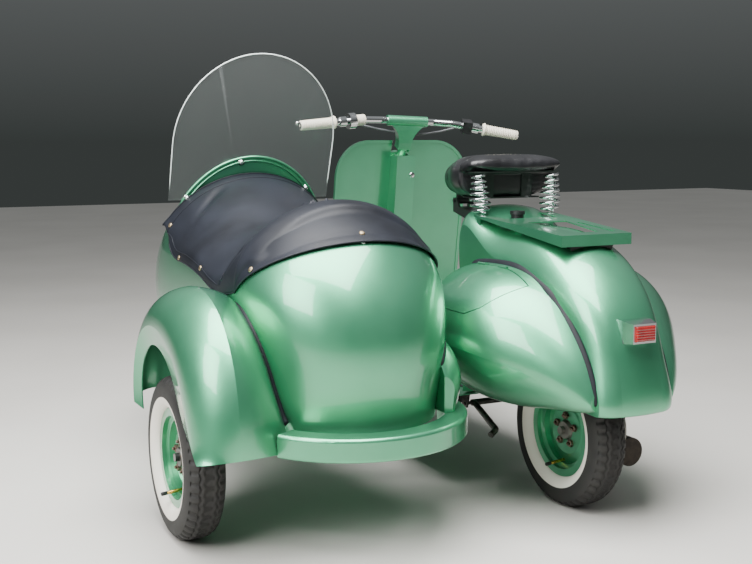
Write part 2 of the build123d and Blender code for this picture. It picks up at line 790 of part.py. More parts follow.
BEND_ROWS = [(SHIELD_LEAN, 0), (-18, 1), (-45, 2), (-70, 3), (-90, 4)]
BEND_WRAPS = (SHIELD_WRAP, 20.0, 8.0, 2.0, 0.4)
NOSE_HALF = 46.0
NOSE_CLEAR = 8.0
NOSE_TOP_Z = 925.0
NECK_SWEEP_R = 36.0


def nose():
    """The raised front of the shield round the steering head."""
    wires = []
    for z in (HEAD_TUBE_LOW_Z + 6, 600, 720, 830, NOSE_TOP_Z):
        front = max(axis_y(z) + HEAD_TUBE_R + NOSE_CLEAR, shield_y(z) + 9)
        root = shield_y(z) - 2
        half = NOSE_HALF - 12 * (z - HEAD_TUBE_LOW_Z) / (SHIELD_TOP_Z - HEAD_TUBE_LOW_Z)
        wires.append(Wire([
            arc((-half, root, z), (-0.72 * half, (root + 2 * front) / 3, z), (0, front, z)),
            arc((0, front, z), (0.72 * half, (root + 2 * front) / 3, z), (half, root, z)),
            line((half, root, z), (-half, root, z)),
        ]))
    return skin(wires)


def head_tube(radius):
    low = (0, axis_y(HEAD_TUBE_LOW_Z), HEAD_TUBE_LOW_Z)
    top = (0, axis_y(HEAD_TUBE_TOP_Z), HEAD_TUBE_TOP_Z)
    return rod(low, top, radius)


def long_bore(radius):
    return rod((0, axis_y(300), 300), (0, axis_y(1100), 1100), radius)


def leg_shield():
    sheet = shield_sheet(0, SHEET, SHIELD_HALF + 20) & shield_outline(0)
    bead = shield_sheet(5, SHEET + 4, SHIELD_HALF + 20) & (shield_outline(0) - shield_outline(9))
    halves = [SHIELD_HALF - (SHIELD_HALF - FLOOR_HALF) * k / 4 for _, k in BEND_ROWS]
    bend = skin([
        Wire(shield_band(turn, half, wrap, 0, SHEET))
        for (turn, _), half, wrap in zip(BEND_ROWS, halves, BEND_WRAPS)
    ])
    top = (0, axis_y(HEAD_TUBE_TOP_Z + 4), HEAD_TUBE_TOP_Z + 4)
    sweep = rod(top, (0, axis_y(1100), 1100), NECK_SWEEP_R)
    whole = sheet + bead + bend + nose() - sweep + head_tube(HEAD_TUBE_R)
    return whole - long_bore(STEM_R + RUNNING_GAP)


# Floor board: a flat tray with a raised middle channel and turned-down sides
TUNNEL_HALF = 48.0
TUNNEL_HIGH = 24.0
TRAY_FLANGE = 22.0
FLOOR_STEP_Y = 353.0


def floor_board():
    y0, y1 = FLOOR_REAR_Y, BEND_Y - SEAT_GAP
    z = FLOOR_Z
    t = SHEET
    h, w = TUNNEL_HALF, FLOOR_HALF
    outer = [(-w, z - TRAY_FLANGE), (-w, z), (-h - 12, z), (-h, z + TUNNEL_HIGH),
             (h, z + TUNNEL_HIGH), (h + 12, z), (w, z), (w, z - TRAY_FLANGE)]
    inner = [(w - t, z - TRAY_FLANGE), (w - t, z - t), (h + 12 - t, z - t),
             (h - t, z + TUNNEL_HIGH - t), (t - h, z + TUNNEL_HIGH - t), (t - h - 12, z - t),
             (t - w, z - t), (t - w, z - TRAY_FLANGE)]
    tray = prism([(x, y0, zz) for x, zz in outer + inner], (0, y1 - y0, 0))
    under_shell = Pos(0, y0, z + 50) * Box(2 * w, 2 * (FLOOR_STEP_Y - y0), 100)
    return tray - under_shell


# Column cover on the rider's side of the steering head
COVER_HALF_X = 33.0
COVER_TOP_Z = 890.0


def column_cover():
    side = [(axis_y(COVER_TOP_Z) - 40, COVER_TOP_Z), (shield_y(COVER_TOP_Z) + 20, COVER_TOP_Z),
            (shield_y(500) + 20, 500), (BEND_Y + 160, 330), (BEND_Y + 118, 330), (shield_y(500) - 62, 480)]
    block = prism([(-COVER_HALF_X, y, z) for y, z in side], (2 * COVER_HALF_X, 0, 0))
    front = shield_sheet(80, SHEET + SEAT_GAP, SHIELD_HALF + 40)
    bend = skin([
        Wire(shield_band(turn, SHIELD_HALF + 9, wrap, 80, SHEET + SEAT_GAP))
        for (turn, _), wrap in zip(BEND_ROWS, BEND_WRAPS)
    ])
    return block - front - bend - head_tube(HEAD_TUBE_R + SEAT_GAP) - long_bore(STEM_R + 2)


# Steering: stem, single-sided trailing arm, mudguard and lamp
FORK_X = 92.0
GUARD_R = 222.0
GUARD_HALF = 72.0
FRONT_DRUM_R = 62.0
FRONT_DRUM_LENGTH = 58.0
FORK_LEAD = 66.0
FORK_KNEE_Z = TYRE_R + GUARD_R + 34


def fork_tube(radius):
    """The steering tube, which bends to pass to the right of the wheel."""
    knee = (0, axis_y(FORK_KNEE_Z), FORK_KNEE_Z)
    side = (FORK_X, axis_y(FORK_KNEE_Z - 80) + 30, FORK_KNEE_Z - 80)
    foot = (FORK_X, WHEELBASE + FORK_LEAD, TYRE_R + 20)
    return bent_tube([on_bar(0, 0, -40), knee, side, foot], radius, 40)


def fork():
    """The steering tube with the trailing arm, the front axle and the damper."""
    wheel_y = WHEELBASE
    drum_end = DISC_FACE_X + SEAT_GAP + FRONT_DRUM_LENGTH
    pivot_y, pivot_z = wheel_y + FORK_LEAD, TYRE_R + 20
    arm = rod((FORK_X, pivot_y, pivot_z), (FORK_X, wheel_y, TYRE_R), 13)
    arm += rod((FORK_X - 22, pivot_y, pivot_z), (FORK_X + 20, pivot_y, pivot_z), 21)
    arm += rod((drum_end + 1, wheel_y, TYRE_R), (FORK_X + 16, wheel_y, TYRE_R), 19)
    arm += rod((DISC_FACE_X - 24, wheel_y, TYRE_R), (drum_end + 4, wheel_y, TYRE_R), AXLE_R)
    damper_x = FORK_X + 34
    damper = rod((damper_x, wheel_y + 30, TYRE_R + 10), (damper_x, wheel_y + 20, TYRE_R + 190), 17)
    damper += rod((FORK_X, wheel_y + 30, TYRE_R + 10), (damper_x, wheel_y + 30, TYRE_R + 10), 9)
    damper += rod((FORK_X, wheel_y + 24, TYRE_R + 180), (damper_x, wheel_y + 20, TYRE_R + 184), 9)
    return fork_tube(STEM_R) + arm + damper


def guard_profile(r, half, thick):
    """The mudguard's section as (x, radius) edges: an arch with straight skirts."""
    low = r - 110

    def pair(o):
        w, top = half - o, r - o
        k = 46 - o
        m = k * (1 - sqrt(0.5))
        return w, top, k, m, low

    def side(o, s):
        w, top, k, m, base = pair(o)
        return [
            line((s * w, base, 0), (s * w, top - k, 0)),
            arc((s * w, top - k, 0), (s * (w - m), top - m, 0), (s * (w - k), top, 0)),
        ]

    w0, top0, k0, _, base = pair(0)
    w1, top1, k1, _, _ = pair(thick)
    edges = side(0, -1) + [line((-(w0 - k0), top0, 0), (w0 - k0, top0, 0))] + side(0, 1)
    edges += [line((w0, base, 0), (w1, base, 0))]
    edges += side(thick, 1) + [line((w1 - k1, top1, 0), (-(w1 - k1), top1, 0))] + side(thick, -1)
    edges += [line((-w1, base, 0), (-w0, base, 0))]
    return edges


def front_mudguard():
    face = Face(Wire(guard_profile(GUARD_R, GUARD_HALF, 2.5)))
    shell = Solid.revolve(face, 172, Axis.X)
    shell = Pos(0, WHEELBASE, TYRE_R) * shell.rotate(Axis.X, 2)
    return shell - fork_tube(STEM_R + SEAT_GAP)


LAMP_R = 52.0


LAMP_CENTRE = Vector(0, WHEELBASE + 96, TYRE_R + GUARD_R + 18)
LAMP_FORWARD = Vector(0, cos(radians(6)), -sin(radians(6)))
# distance along the lamp's axis from its centre, radius
LAMP_ROWS = [(-118, 9), (-90, 27), (-50, 42), (-10, 50), (29, LAMP_R)]


def headlamp_axis_cylinder(start, length, radius):
    plane = Plane(origin=LAMP_CENTRE + LAMP_FORWARD * start, z_dir=LAMP_FORWARD)
    return Solid.make_cylinder(radius, length, plane)


def headlamp(glass):
    """The lamp pod on the mudguard's front, or the glass in its mouth."""
    if glass:
        return headlamp_axis_cylinder(25 + SEAT_GAP, 6, LAMP_R - 8)
    wires = []
    for along, radius in LAMP_ROWS:
        plane = Plane(origin=LAMP_CENTRE + LAMP_FORWARD * along, z_dir=LAMP_FORWARD)
        wires.append(Wire.make_circle(radius, plane))
    return skin(wires)


def headlamp_shell():
    pocket = headlamp_axis_cylinder(25, 40, LAMP_R - 7.7)
    return headlamp(False) - spun_guard_core() - pocket - fork_tube(STEM_R + SEAT_GAP)


def spun_guard_core():
    """What the mudguard's outer surface holds, for pieces that sit on it."""
    r = GUARD_R + SEAT_GAP
    half = GUARD_HALF + SEAT_GAP
    k = 46
    m = k * (1 - sqrt(0.5))
    edges = [
        line((-half, 0, 0), (-half, r - k, 0)),
        arc((-half, r - k, 0), (-half + m, r - m, 0), (-half + k, r, 0)),
        line((-half + k, r, 0), (half - k, r, 0)),
        arc((half - k, r, 0), (half - m, r - m, 0), (half, r - k, 0)),
        line((half, r - k, 0), (half, 0, 0)),
        line((half, 0, 0), (-half, 0, 0)),
    ]
    return spun(edges, 0, WHEELBASE)


# Handlebar and its fittings, built straight ahead
def bar_point(s):
    """A point of the bar's outer leg: s is the distance from the middle, signed."""
    share = (abs(s) - 150) / (BAR_HALF - 150)
    return on_bar(s, -14 - (BAR_BACK - 14) * share, 3 - (BAR_DROP + 3) * share)


def handlebar_head():
    block = rod(on_bar(-68, 0, 0), on_bar(68, 0, 0), 17)
    plane = Plane(origin=on_bar(0, 0, 0), x_dir=(1, 0, 0), z_dir=STEER_UP)
    lower = plane.offset(-92)
    neck = Solid.make_loft([
        Wire.make_rect(44, 36, lower),
        Wire.make_rect(54, 38, plane.offset(-46)),
        Wire.make_rect(110, 34, plane.offset(-10)),
    ])
    head = block + neck
    head -= rod(on_bar(-90, 0, 0), on_bar(90, 0, 0), BAR_R + SEAT_GAP)
    return head - rod(on_bar(0, 0, -140), on_bar(0, 0, -38), STEM_R + SEAT_GAP)


def handlebar_tube():
    points = [bar_point(-BAR_HALF), bar_point(-150), on_bar(-92, 0, 0), on_bar(92, 0, 0),
              bar_point(150), bar_point(BAR_HALF)]
    return bent_tube(points, BAR_R, 45)


def along_leg(s0, s1, radius, bore):
    shape = rod(bar_point(s0), bar_point(s1), radius)
    past = 4 if s1 > s0 else -4
    return shape - rod(bar_point(s0 - past), bar_point(s1 + past), bore)


def grips():
    bore = BAR_R + SEAT_GAP
    start = BAR_HALF - GRIP_LENGTH
    end = BAR_HALF + 3
    left = rod(bar_point(-start), bar_point(-end), GRIP_R)
    right = rod(bar_point(start), bar_point(end), GRIP_R)
    left -= rod(bar_point(-start + 4), bar_point(-BAR_HALF), bore)
    right -= rod(bar_point(start - 4), bar_point(BAR_HALF), bore)
    return [left, right]


def lever(side):
    """A flat lever blade ahead of the grip, on its clamp."""
    bore = BAR_R + SEAT_GAP
    clamp_at = BAR_HALF - GRIP_LENGTH - 26
    clamp = along_leg(side * (clamp_at - 11), side * (clamp_at + 11), BAR_R + 5, bore)
    pivot = Vector(*bar_point(side * clamp_at)) + STEER_FRONT * 26 + STEER_UP * -6
    knee = Vector(*bar_point(side * (clamp_at + 40))) + STEER_FRONT * 46 + STEER_UP * -8
    tip = Vector(*bar_point(side * (BAR_HALF - 6))) + STEER_FRONT * 50 + STEER_UP * -10
    blade = bent_tube([tuple(pivot), tuple(knee), tuple(tip)], 4.5, 30)
    ball = Pos(*tip) * Solid.make_sphere(6.5, angle1=-90, angle2=90)
    lug_start = Vector(*bar_point(side * clamp_at)) + STEER_FRONT * (BAR_R + 3) + STEER_UP * -3
    lug = rod(tuple(lug_start), tuple(pivot), 7)
    pin = rod(tuple(pivot - STEER_UP * 8), tuple(pivot + STEER_UP * 8), 8)
    return clamp + lug + pin + blade + ball


def twist_control():
    """The gear-change collar on the left leg, with its grip-side boot."""
    bore = BAR_R + SEAT_GAP
    inner = BAR_HALF - GRIP_LENGTH
    drum = along_leg(-(inner - 46), -(inner - 68), 25, bore)
    return drum


def twist_boot():
    bore = BAR_R + SEAT_GAP
    inner = BAR_HALF - GRIP_LENGTH
    return along_leg(-(inner - 69), -(inner - 102), 17, bore)


def switch_box():
    bore = BAR_R + SEAT_GAP
    at = BAR_HALF - GRIP_LENGTH - 54
    plane = Plane(origin=bar_point(at), x_dir=Vector(*bar_point(at + 10)) - Vector(*bar_point(at)),
                  z_dir=STEER_UP)
    box = plane * Box(32, 40, 38)
    return box - rod(bar_point(at - 30), bar_point(at + 30), bore)


def control_cables():
    """Sheathed cables from the levers and the gear collar into the head's neck."""
    clamp_at = BAR_HALF - GRIP_LENGTH - 26
    cables = []
    for side, drop in ((1, -46), (-1, -38)):
        start = Vector(*bar_point(side * (clamp_at - 9.7))) + STEER_FRONT * 26 + STEER_UP * -6
        points = [
            tuple(start),
            on_bar(side * (clamp_at - 34), 22, -18),
            on_bar(side * 136, 26, drop + 8),
            on_bar(side * 84, 20, drop),
            on_bar(side * 36, -4, drop + 2),
        ]
        cables.append(bent_tube(points, 3.0, 18))
    return cables


# Rack, lamp, cap and saddle
RACK_SLOPE = (RACK_FRONT_Z - RACK_Z) / (RACK_FRONT_Y - RACK_REAR_Y)
RACK_DECK_FRONT_Y = 182.0
RACK_ARM_FRONT_Y = 272.0
RACK_ARM_WIDE = 42.0
RACK_ARM_STEP = 0.5
RACK_OPENING = [(-32, -66), (32, -66), (60, 112), (-60, 112)]
RACK_SLOT = [(70, -72), (82, -72), (82, 82), (70, 82)]
RACK_STAY_WIDE = 14.0
RACK_STAY_DROP = 60.0


def rack_z(y):
    return RACK_Z + RACK_SLOPE * (y - RACK_REAR_Y)


def rack_half(y):
    share = (y - RACK_REAR_Y) / (RACK_FRONT_Y - RACK_REAR_Y)
    return RACK_HALF_REAR + (RACK_HALF_FRONT - RACK_HALF_REAR) * share


def deck_slab(points, above, below):
    """A slab in the rack's sloping plane with the given plan outline."""
    low = [(x, y, rack_z(y) - below) for x, y in points]
    return prism(low, (0, 0, above + below))


def luggage_rack():
    """A pressed deck with side flanges that taper forwards, two arms under the springs that
    are joggled down a little, a tapering opening in its middle, one slot on the right and a
    stay under each arm."""
    y0, y1 = RACK_REAR_Y, RACK_ARM_FRONT_Y
    h0, h1 = rack_half(y0), rack_half(y1)
    t = SHEET
    outline = [(-h0, y0), (h0, y0), (h1, y1), (-h1, y1)]
    inner = [(-h0 + t, y0 + t), (h0 - t, y0 + t), (h1 - t, y1 + 1), (-h1 + t, y1 + 1)]
    rack = deck_slab(outline, 0, RACK_FLANGE)
    rack -= deck_slab(inner, -t, RACK_FLANGE + 5)
    taper = [(y0, rack_z(y0) - RACK_FLANGE), (y1 + 1, rack_z(y1) - RACK_FLANGE_FRONT),
             (y1 + 1, rack_z(y1) - 2 * RACK_FLANGE), (y0, rack_z(y0) - 2 * RACK_FLANGE)]
    rack -= prism([(-2 * h1, y, z) for y, z in taper], (4 * h1, 0, 0))
    gap = h1 - RACK_ARM_WIDE
    rack -= deck_slab([(-gap, RACK_DECK_FRONT_Y), (gap, RACK_DECK_FRONT_Y), (gap, y1 + 1), (-gap, y1 + 1)], 5, 10)
    wide = 2 * h1
    rack -= deck_slab([(-wide, RACK_DECK_FRONT_Y), (wide, RACK_DECK_FRONT_Y), (wide, y1 + 1), (-wide, y1 + 1)],
                      5, RACK_ARM_STEP)
    rack -= deck_slab(RACK_OPENING, 5, 10)
    rack -= deck_slab(RACK_SLOT, 5, 10)
    stay_y = y1 - RACK_STAY_WIDE
    stay_x = rack_half(stay_y) - 2 * t
    for s in (-1, 1):
        rack += Pos(s * stay_x, stay_y, rack_z(stay_y) - RACK_STAY_DROP / 2) * Box(
            t, RACK_STAY_WIDE, RACK_STAY_DROP - t)
    return rack - spine(-SEAT_GAP)


def rack_bracket():
    """The trapezoid stay under the rack's rear, down to the shell."""
    y = RACK_REAR_Y + 34
    top = rack_z(y)
    wires = []
    for z, half, y_shift in ((top, 78, 0), (top - 90, 42, 0)):
        wires.append(ring([(-half, y - 14, z), (half, y - 14, z), (half, y + 14, z), (-half, y + 14, z)]))
    stay = Solid.make_loft(wires, ruled=True)
    deck_skin = deck_slab([(-100, y - 30), (100, y - 30), (100, y + 30), (-100, y + 30)], 20, SHEET + SEAT_GAP)
    return stay - spine(-SEAT_GAP) - deck_skin


def fuel_cap():
    y = 214.0
    base = Solid.make_cylinder(17, 60, Plane(origin=(-26, y, 690)))
    knob = Solid.make_cylinder(20, 9, Plane(origin=(-26, y, 741)))
    return base + knob - spine(-SEAT_GAP)


LAMP_Z = 491.0
LAMP_REAR_Y = -292.0


def tail_lamp_housing():
    wires = []
    for y, half, low, high in ((-225, 44, 462, 522), (-262, 41, 465, 519), (LAMP_REAR_Y, 33, 468, 514)):
        wires.append(ring([(-half, y, low), (half, y, low), (half, y, high), (-half, y, high)]))
    body = Solid.make_loft(wires, ruled=True)
    pocket = Pos(0, LAMP_REAR_Y, LAMP_Z) * Box(57, 12, 37)
    return body - pocket - spine(-SEAT_GAP)


def tail_lamp_lens():
    return Pos(0, LAMP_REAR_Y - 1.2, LAMP_Z) * Box(57 - 0.6, 14 - 0.6, 37 - 0.6)


# Saddle: a padded seat on a plate, with two barrel springs behind and a hinge at the nose
# y, half width, underside height, top height
SADDLE_ROWS = [
    (236, 112, 800, 872),
    (256, 146, 786, 889),
    (310, 157, 784, 894),
    (365, 153, 784, 892),
    (430, 124, 784, 886),
    (500, 88, 784, 876),
    (556, 60, 786, 860),
    (574, 46, 792, 846),
]
SADDLE_REAR_Y = 309.0
SADDLE_PLATE_Z = 784.0
SADDLE_PLATE = 4.0


def saddle_cover():
    """The padding: its rear overhangs the springs, and the face below is upright."""
    wires = []
    for y, half, low, high in SADDLE_ROWS:
        plane = Plane(origin=(0, y, (low + high) / 2), x_dir=(1, 0, 0), z_dir=(0, 1, 0))
        rounded = RectangleRounded(2 * half, high - low, 0.36 * (high - low))
        wires.append((plane * rounded).faces()[0].outer_wire())
    step_z = SPRING_TOP_Z + SADDLE_PLATE + 2 * SEAT_GAP
    behind = Pos(0, SADDLE_REAR_Y - 200, step_z - 200) * Box(500, 400, 400)
    return skin(wires) - behind


def saddle_frame():
    """The steel plate under the padding, its rear bar over the springs and the nose eye."""
    t = SADDLE_PLATE
    z = SADDLE_PLATE_Z - SEAT_GAP - t
    y0 = SADDLE_REAR_Y
    tip = SADDLE_HINGE_Y
    frame = prism([(-104, y0 - t, z), (104, y0 - t, z), (96, 380, z), (34, 500, z), (20, tip, z),
                   (-20, tip, z), (-34, 500, z), (-96, 380, z)], (0, 0, t))
    top_z = SPRING_TOP_Z + SEAT_GAP
    frame += Pos(0, (SPRING_Y - 14 + y0) / 2, top_z + t / 2) * Box(
        2 * SPRING_X + 40, y0 - SPRING_Y + 14 - 2 * SEAT_GAP, t)
    for s in (-1, 1):
        strap_z = (z + top_z + t) / 2
        frame += Pos(s * 62, y0 - SEAT_GAP - t / 2, strap_z) * Box(34, t, top_z + t - z)
    eye = rod((-20, tip, SADDLE_HINGE_Z), (20, tip, SADDLE_HINGE_Z), 10)
    web = Pos(0, tip, (SADDLE_HINGE_Z + z) / 2 + t / 2) * Box(40, 2 * t, z - SADDLE_HINGE_Z + t)
    return frame + eye + web - rod((-40, tip, SADDLE_HINGE_Z), (40, tip, SADDLE_HINGE_Z), 5 + SEAT_GAP)


def saddle_bracket():
    """The fixed arm and fork at the saddle's nose, with the hinge pin."""
    y, z = SADDLE_HINGE_Y, SADDLE_HINGE_Z
    post = rod((-32, y, z), (32, y, z), 5)
    for s in (-1, 1):
        cheek = [(s * 21, y - 10, z + 9), (s * 21, y + 10, z + 9), (s * 21, y + 10, z - 30),
                 (s * 21, y - 30, z - 30)]
        post += prism(cheek, (s * 6, 0, 0))
    foot = prism([(-27, y + 10, z - 18), (-27, y + 10, z - 32), (-27, 250, 655), (-27, 250, 690),
                  (-27, y - 40, z - 18)], (54, 0, 0))
    return post + (foot - spine(-SEAT_GAP))


def saddle_springs():
    springs = []
    for s in (-1, 1):
        rows = ((SPRING_LOW_Z, 0, 22), (SPRING_LOW_Z + 30, 3, SPRING_R), (SPRING_TOP_Z - 30, 6, SPRING_R - 3),
                (SPRING_TOP_Z, 8, 20))
        wires = [Wire.make_circle(r, Plane(origin=(s * (SPRING_X - 6 + dx), SPRING_Y, z))) for z, dx, r in rows]
        bore = rod((s * SPRING_X, SPRING_Y, SPRING_LOW_Z - 5), (s * SPRING_X, SPRING_Y, SPRING_TOP_Z + 5), 13)
        springs.append(skin(wires) - bore)
    return springs


# Engine, stand, pedal and small fittings under the shell
ENGINE_CLEAR = 8.0
CASE_WIDE = 56.0
CASE_R = 90.0
PIVOT_Y = 262.0
PIVOT_Z = 278.0
PIVOT_R = 13.0
CYLINDER_R = 50.0
CYLINDER_Y = 72.0
CYLINDER_Z = 362.0
CYLINDER_END_X = 208.0
REAR_DRUM_LENGTH = 56.0
CASE_X0 = DISC_FACE_X + SEAT_GAP + REAR_DRUM_LENGTH + ENGINE_CLEAR
CASE_X1 = CASE_X0 + CASE_WIDE
SHELL_INSIDE = 137.0 - SHEET


def engine_block():
    """The swinging power unit as one plain block, with the rear axle and its pivot tube."""
    case = Solid.make_cylinder(CASE_R, CASE_WIDE, Plane(origin=(CASE_X0, 0, TYRE_R), z_dir=(1, 0, 0)))
    case += prism([(CASE_X0, 0, 190), (CASE_X0, 276, 240), (CASE_X0, 276, 294), (CASE_X0, 140, 402),
                   (CASE_X0, 30, 402), (CASE_X0, 30, 270)], (CASE_WIDE, 0, 0))
    case += rod((DISC_FACE_X - 24, 0, TYRE_R), (CASE_X0 + 8, 0, TYRE_R), AXLE_R)
    case += rod((SEAT_GAP - SHELL_INSIDE, PIVOT_Y, PIVOT_Z), (CASE_X1, PIVOT_Y, PIVOT_Z), PIVOT_R)
    case += rod((CASE_X1 - 12, CYLINDER_Y, CYLINDER_Z), (CYLINDER_END_X, CYLINDER_Y, CYLINDER_Z), CYLINDER_R)
    return case


SILENCER_R = 38.0
SILENCER_Z = 130.0
SILENCER_REAR_Y = -60.0
SILENCER_FRONT_Y = 120.0


def silencer():
    x = CASE_X1 + SEAT_GAP + SILENCER_R
    return rod((x, SILENCER_REAR_Y, SILENCER_Z), (x, SILENCER_FRONT_Y, SILENCER_Z), SILENCER_R)


STAND_Y = 322.0
STAND_Z = 208.0
STAND_LEG = 165.0
STAND_DROP = 36.0
STAND_HALF = 122.0
STAND_R = 9.0
STAND_PIN_R = 5.0


def centre_stand():
    """The folded stand: a cross tube on its pivot, two legs and turned-out feet."""
    y, z = STAND_Y, STAND_Z
    bar = rod((-STAND_HALF + 22, y, z), (STAND_HALF - 22, y, z), STAND_R)
    for s in (-1, 1):
        ankle = (s * STAND_HALF, y - STAND_LEG, z - STAND_DROP)
        foot = (s * (STAND_HALF + 24), y - STAND_LEG - 12, z - STAND_DROP - 10)
        bar += bent_tube([(s * (STAND_HALF - 30), y - 3, z - 0.5), ankle, foot], STAND_R - 0.5, 12)
    return bar - rod((-200, y, z), (200, y, z), STAND_PIN_R + RUNNING_GAP)


def stand_brackets():
    """The two ears under the floor and the pin that the stand turns on."""
    y, z = STAND_Y, STAND_Z
    top = FLOOR_Z - SHEET - SEAT_GAP
    reach = STAND_HALF + 4
    ears = rod((-reach, y, z), (reach, y, z), STAND_PIN_R)
    for s in (-1, 1):
        ear = [(s * (reach - 8), y - 12, z - 10), (s * (reach - 8), y + 12, z - 10),
               (s * (reach - 8), y + 22, top), (s * (reach - 8), y - 22, top)]
        ears += prism(ear, (s * 5, 0, 0))
        ears += prism([(s * (reach - 8), y - 21, top - 4), (s * (reach - 8), y + 40, top - 4),
                       (s * (reach + 14), y + 40, top - 4), (s * (reach + 14), y - 21, top - 4)], (0, 0, 4))
    return ears


def brake_pedal():
    floor = FLOOR_Z + SEAT_GAP
    arm = bent_tube([(112, 640, floor), (112, 640, floor + 24), (112, 590, floor + 48)], 7, 8)
    pad = prism([(92, 596, floor + 47), (132, 596, floor + 47), (132, 560, floor + 60), (92, 560, floor + 60)],
                (0, 3, 8))
    return arm + pad


def kick_lever():
    x = CASE_X1 + SEAT_GAP
    arm = bent_tube([(x + 20, 150, 232), (x + 74, 150, 232), (x + 108, 196, 190), (x + 108, 232, 176),
                     (x + 142, 232, 176)], 8, 14)
    return arm + rod((x, 150, 232), (x + 34, 150, 232), 13)


parts = {}


def add(node, shape):
    parts[node] = Compound(shape) if isinstance(shape, list) else shape


add("side_body", side_body())
add("coaming", coaming())
add("side_cover", side_cover())
add("windscreen", windscreen())
add("side_fender", side_fender())
add("side_bumper", side_bumper())
add("side_fairing", side_fairing())
add("side_chassis", side_chassis())
add("side_tyre", tyre(SIDE_WHEEL_X, SIDE_WHEEL_Y))
add("side_rim", rim(SIDE_WHEEL_X, SIDE_WHEEL_Y))
add("side_hub", hub(SIDE_WHEEL_X, SIDE_WHEEL_Y, 1, 50, SIDE_HUB_LENGTH))
add("rear_tyre", tyre(0, 0))
add("rear_rim", rim(0, 0))
add("rear_drum", hub(0, 0, 1, 66, REAR_DRUM_LENGTH))
add("rear_body", rear_body())
add("left_cowl", left_cowl())
add("toolbox_lid", toolbox_lid())
add("right_cowl", right_cowl())
add("leg_shield", leg_shield())
add("floor_board", floor_board())
add("column_cover", column_cover())
add("luggage_rack", luggage_rack())
add("rack_bracket", rack_bracket())
add("fuel_cap", fuel_cap())
add("tail_lamp_housing", tail_lamp_housing())
add("tail_lamp_lens", tail_lamp_lens())
add("saddle_cover", saddle_cover())
add("saddle_frame", saddle_frame())
add("saddle_bracket", saddle_bracket())
add("saddle_springs", saddle_springs())
add("engine_block", engine_block())
add("silencer", silencer())
add("centre_stand", centre_stand())
add("stand_brackets", stand_brackets())
add("brake_pedal", brake_pedal())
add("kick_lever", kick_lever())
add("fork", steered(fork()))
add("front_mudguard", steered(front_mudguard()))
add("headlamp_shell", steered(headlamp_shell()))
add("headlamp_lens", steered(headlamp(True)))
add("front_tyre", steered(tyre(0, WHEELBASE)))
add("front_rim", steered(rim(0, WHEELBASE)))
add("front_drum", steered(hub(0, WHEELBASE, 1, FRONT_DRUM_R, FRONT_DRUM_LENGTH)))
add("handlebar_head", steered(handlebar_head()))
add("handlebar_tube", steered(handlebar_tube()))
add("grips", [steered(g) for g in grips()])
add("levers", [steered(lever(s)) for s in (-1, 1)])
add("twist_control", steered(twist_control()))
add("twist_boot", steered(twist_boot()))
add("switch_box", steered(switch_box()))
add("control_cables", [steered(c) for c in control_cables()])

# The row's origin is the middle of the bounding box's base
boxes = [shape.bounding_box() for shape in parts.values()]
mid_x = (min(b.min.X for b in boxes) + max(b.max.X for b in boxes)) / 2
mid_y = (min(b.min.Y for b in boxes) + max(b.max.Y for b in boxes)) / 2
base_z = min(b.min.Z for b in boxes)
print("shift", -mid_x, -mid_y, -base_z)

os.makedirs("parts", exist_ok=True)
for name, shape in parts.items():
    export_step(Pos(-mid_x, -mid_y, -base_z) * shape, f"parts/{name}.step")
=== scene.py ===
from math import cos, pi, radians, sin, tan

import bmesh
import bpy
import numpy as np
from mathutils import Matrix, Vector
from mathutils.bvhtree import BVHTree


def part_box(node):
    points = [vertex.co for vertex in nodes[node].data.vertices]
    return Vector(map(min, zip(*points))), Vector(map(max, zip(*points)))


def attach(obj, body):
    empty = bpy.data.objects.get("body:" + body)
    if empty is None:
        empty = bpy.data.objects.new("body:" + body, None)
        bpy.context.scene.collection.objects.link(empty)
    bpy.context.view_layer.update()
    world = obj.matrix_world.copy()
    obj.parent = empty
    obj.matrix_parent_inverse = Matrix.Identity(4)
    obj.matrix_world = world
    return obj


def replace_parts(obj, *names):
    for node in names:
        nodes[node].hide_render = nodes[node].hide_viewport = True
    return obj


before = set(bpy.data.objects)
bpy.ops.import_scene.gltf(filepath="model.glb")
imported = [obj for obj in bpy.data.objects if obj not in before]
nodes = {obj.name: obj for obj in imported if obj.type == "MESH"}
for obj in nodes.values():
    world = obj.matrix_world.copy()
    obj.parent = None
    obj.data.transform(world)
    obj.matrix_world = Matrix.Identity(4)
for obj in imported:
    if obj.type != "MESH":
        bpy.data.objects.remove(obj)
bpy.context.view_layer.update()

# The studio: a plain pale floor, one big soft light overhead, a smaller one from the left
# rear, and the camera where the photograph was taken from, behind and to the left.
tyre_low, tyre_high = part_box("rear_tyre")
AXLE = (tyre_low + tyre_high) / 2


def place(points):
    """Millimetres from the ground under the rear axle to the model's own metres."""
    return np.asarray(points, float) / 1000 + np.array([AXLE.x, AXLE.y, 0.0])


def linear(code):
    """An sRGB hex colour as linear red, green, blue and alpha."""
    values = [int(code[i:i + 2], 16) / 255 for i in (1, 3, 5)]
    return tuple(v / 12.92 if v <= 0.04045 else ((v + 0.055) / 1.055) ** 2.4 for v in values) + (1.0,)


def add(material, kind, inputs=None, **settings):
    """Adds a node with its settings; an input is a value, or a socket that it is linked from."""
    made = material.node_tree.nodes.new(kind)
    for name, value in settings.items():
        setattr(made, name, value)
    for name, value in (inputs or {}).items():
        if isinstance(value, bpy.types.NodeSocket):
            material.node_tree.links.new(value, made.inputs[name])
        else:
            made.inputs[name].default_value = value
    return made


PATCH_LOW, PATCH_HIGH = 0.35, 0.65
GLOSS_LOW, GLOSS_HIGH = 0.3, 0.7
GRAIN_STRENGTH = 0.5


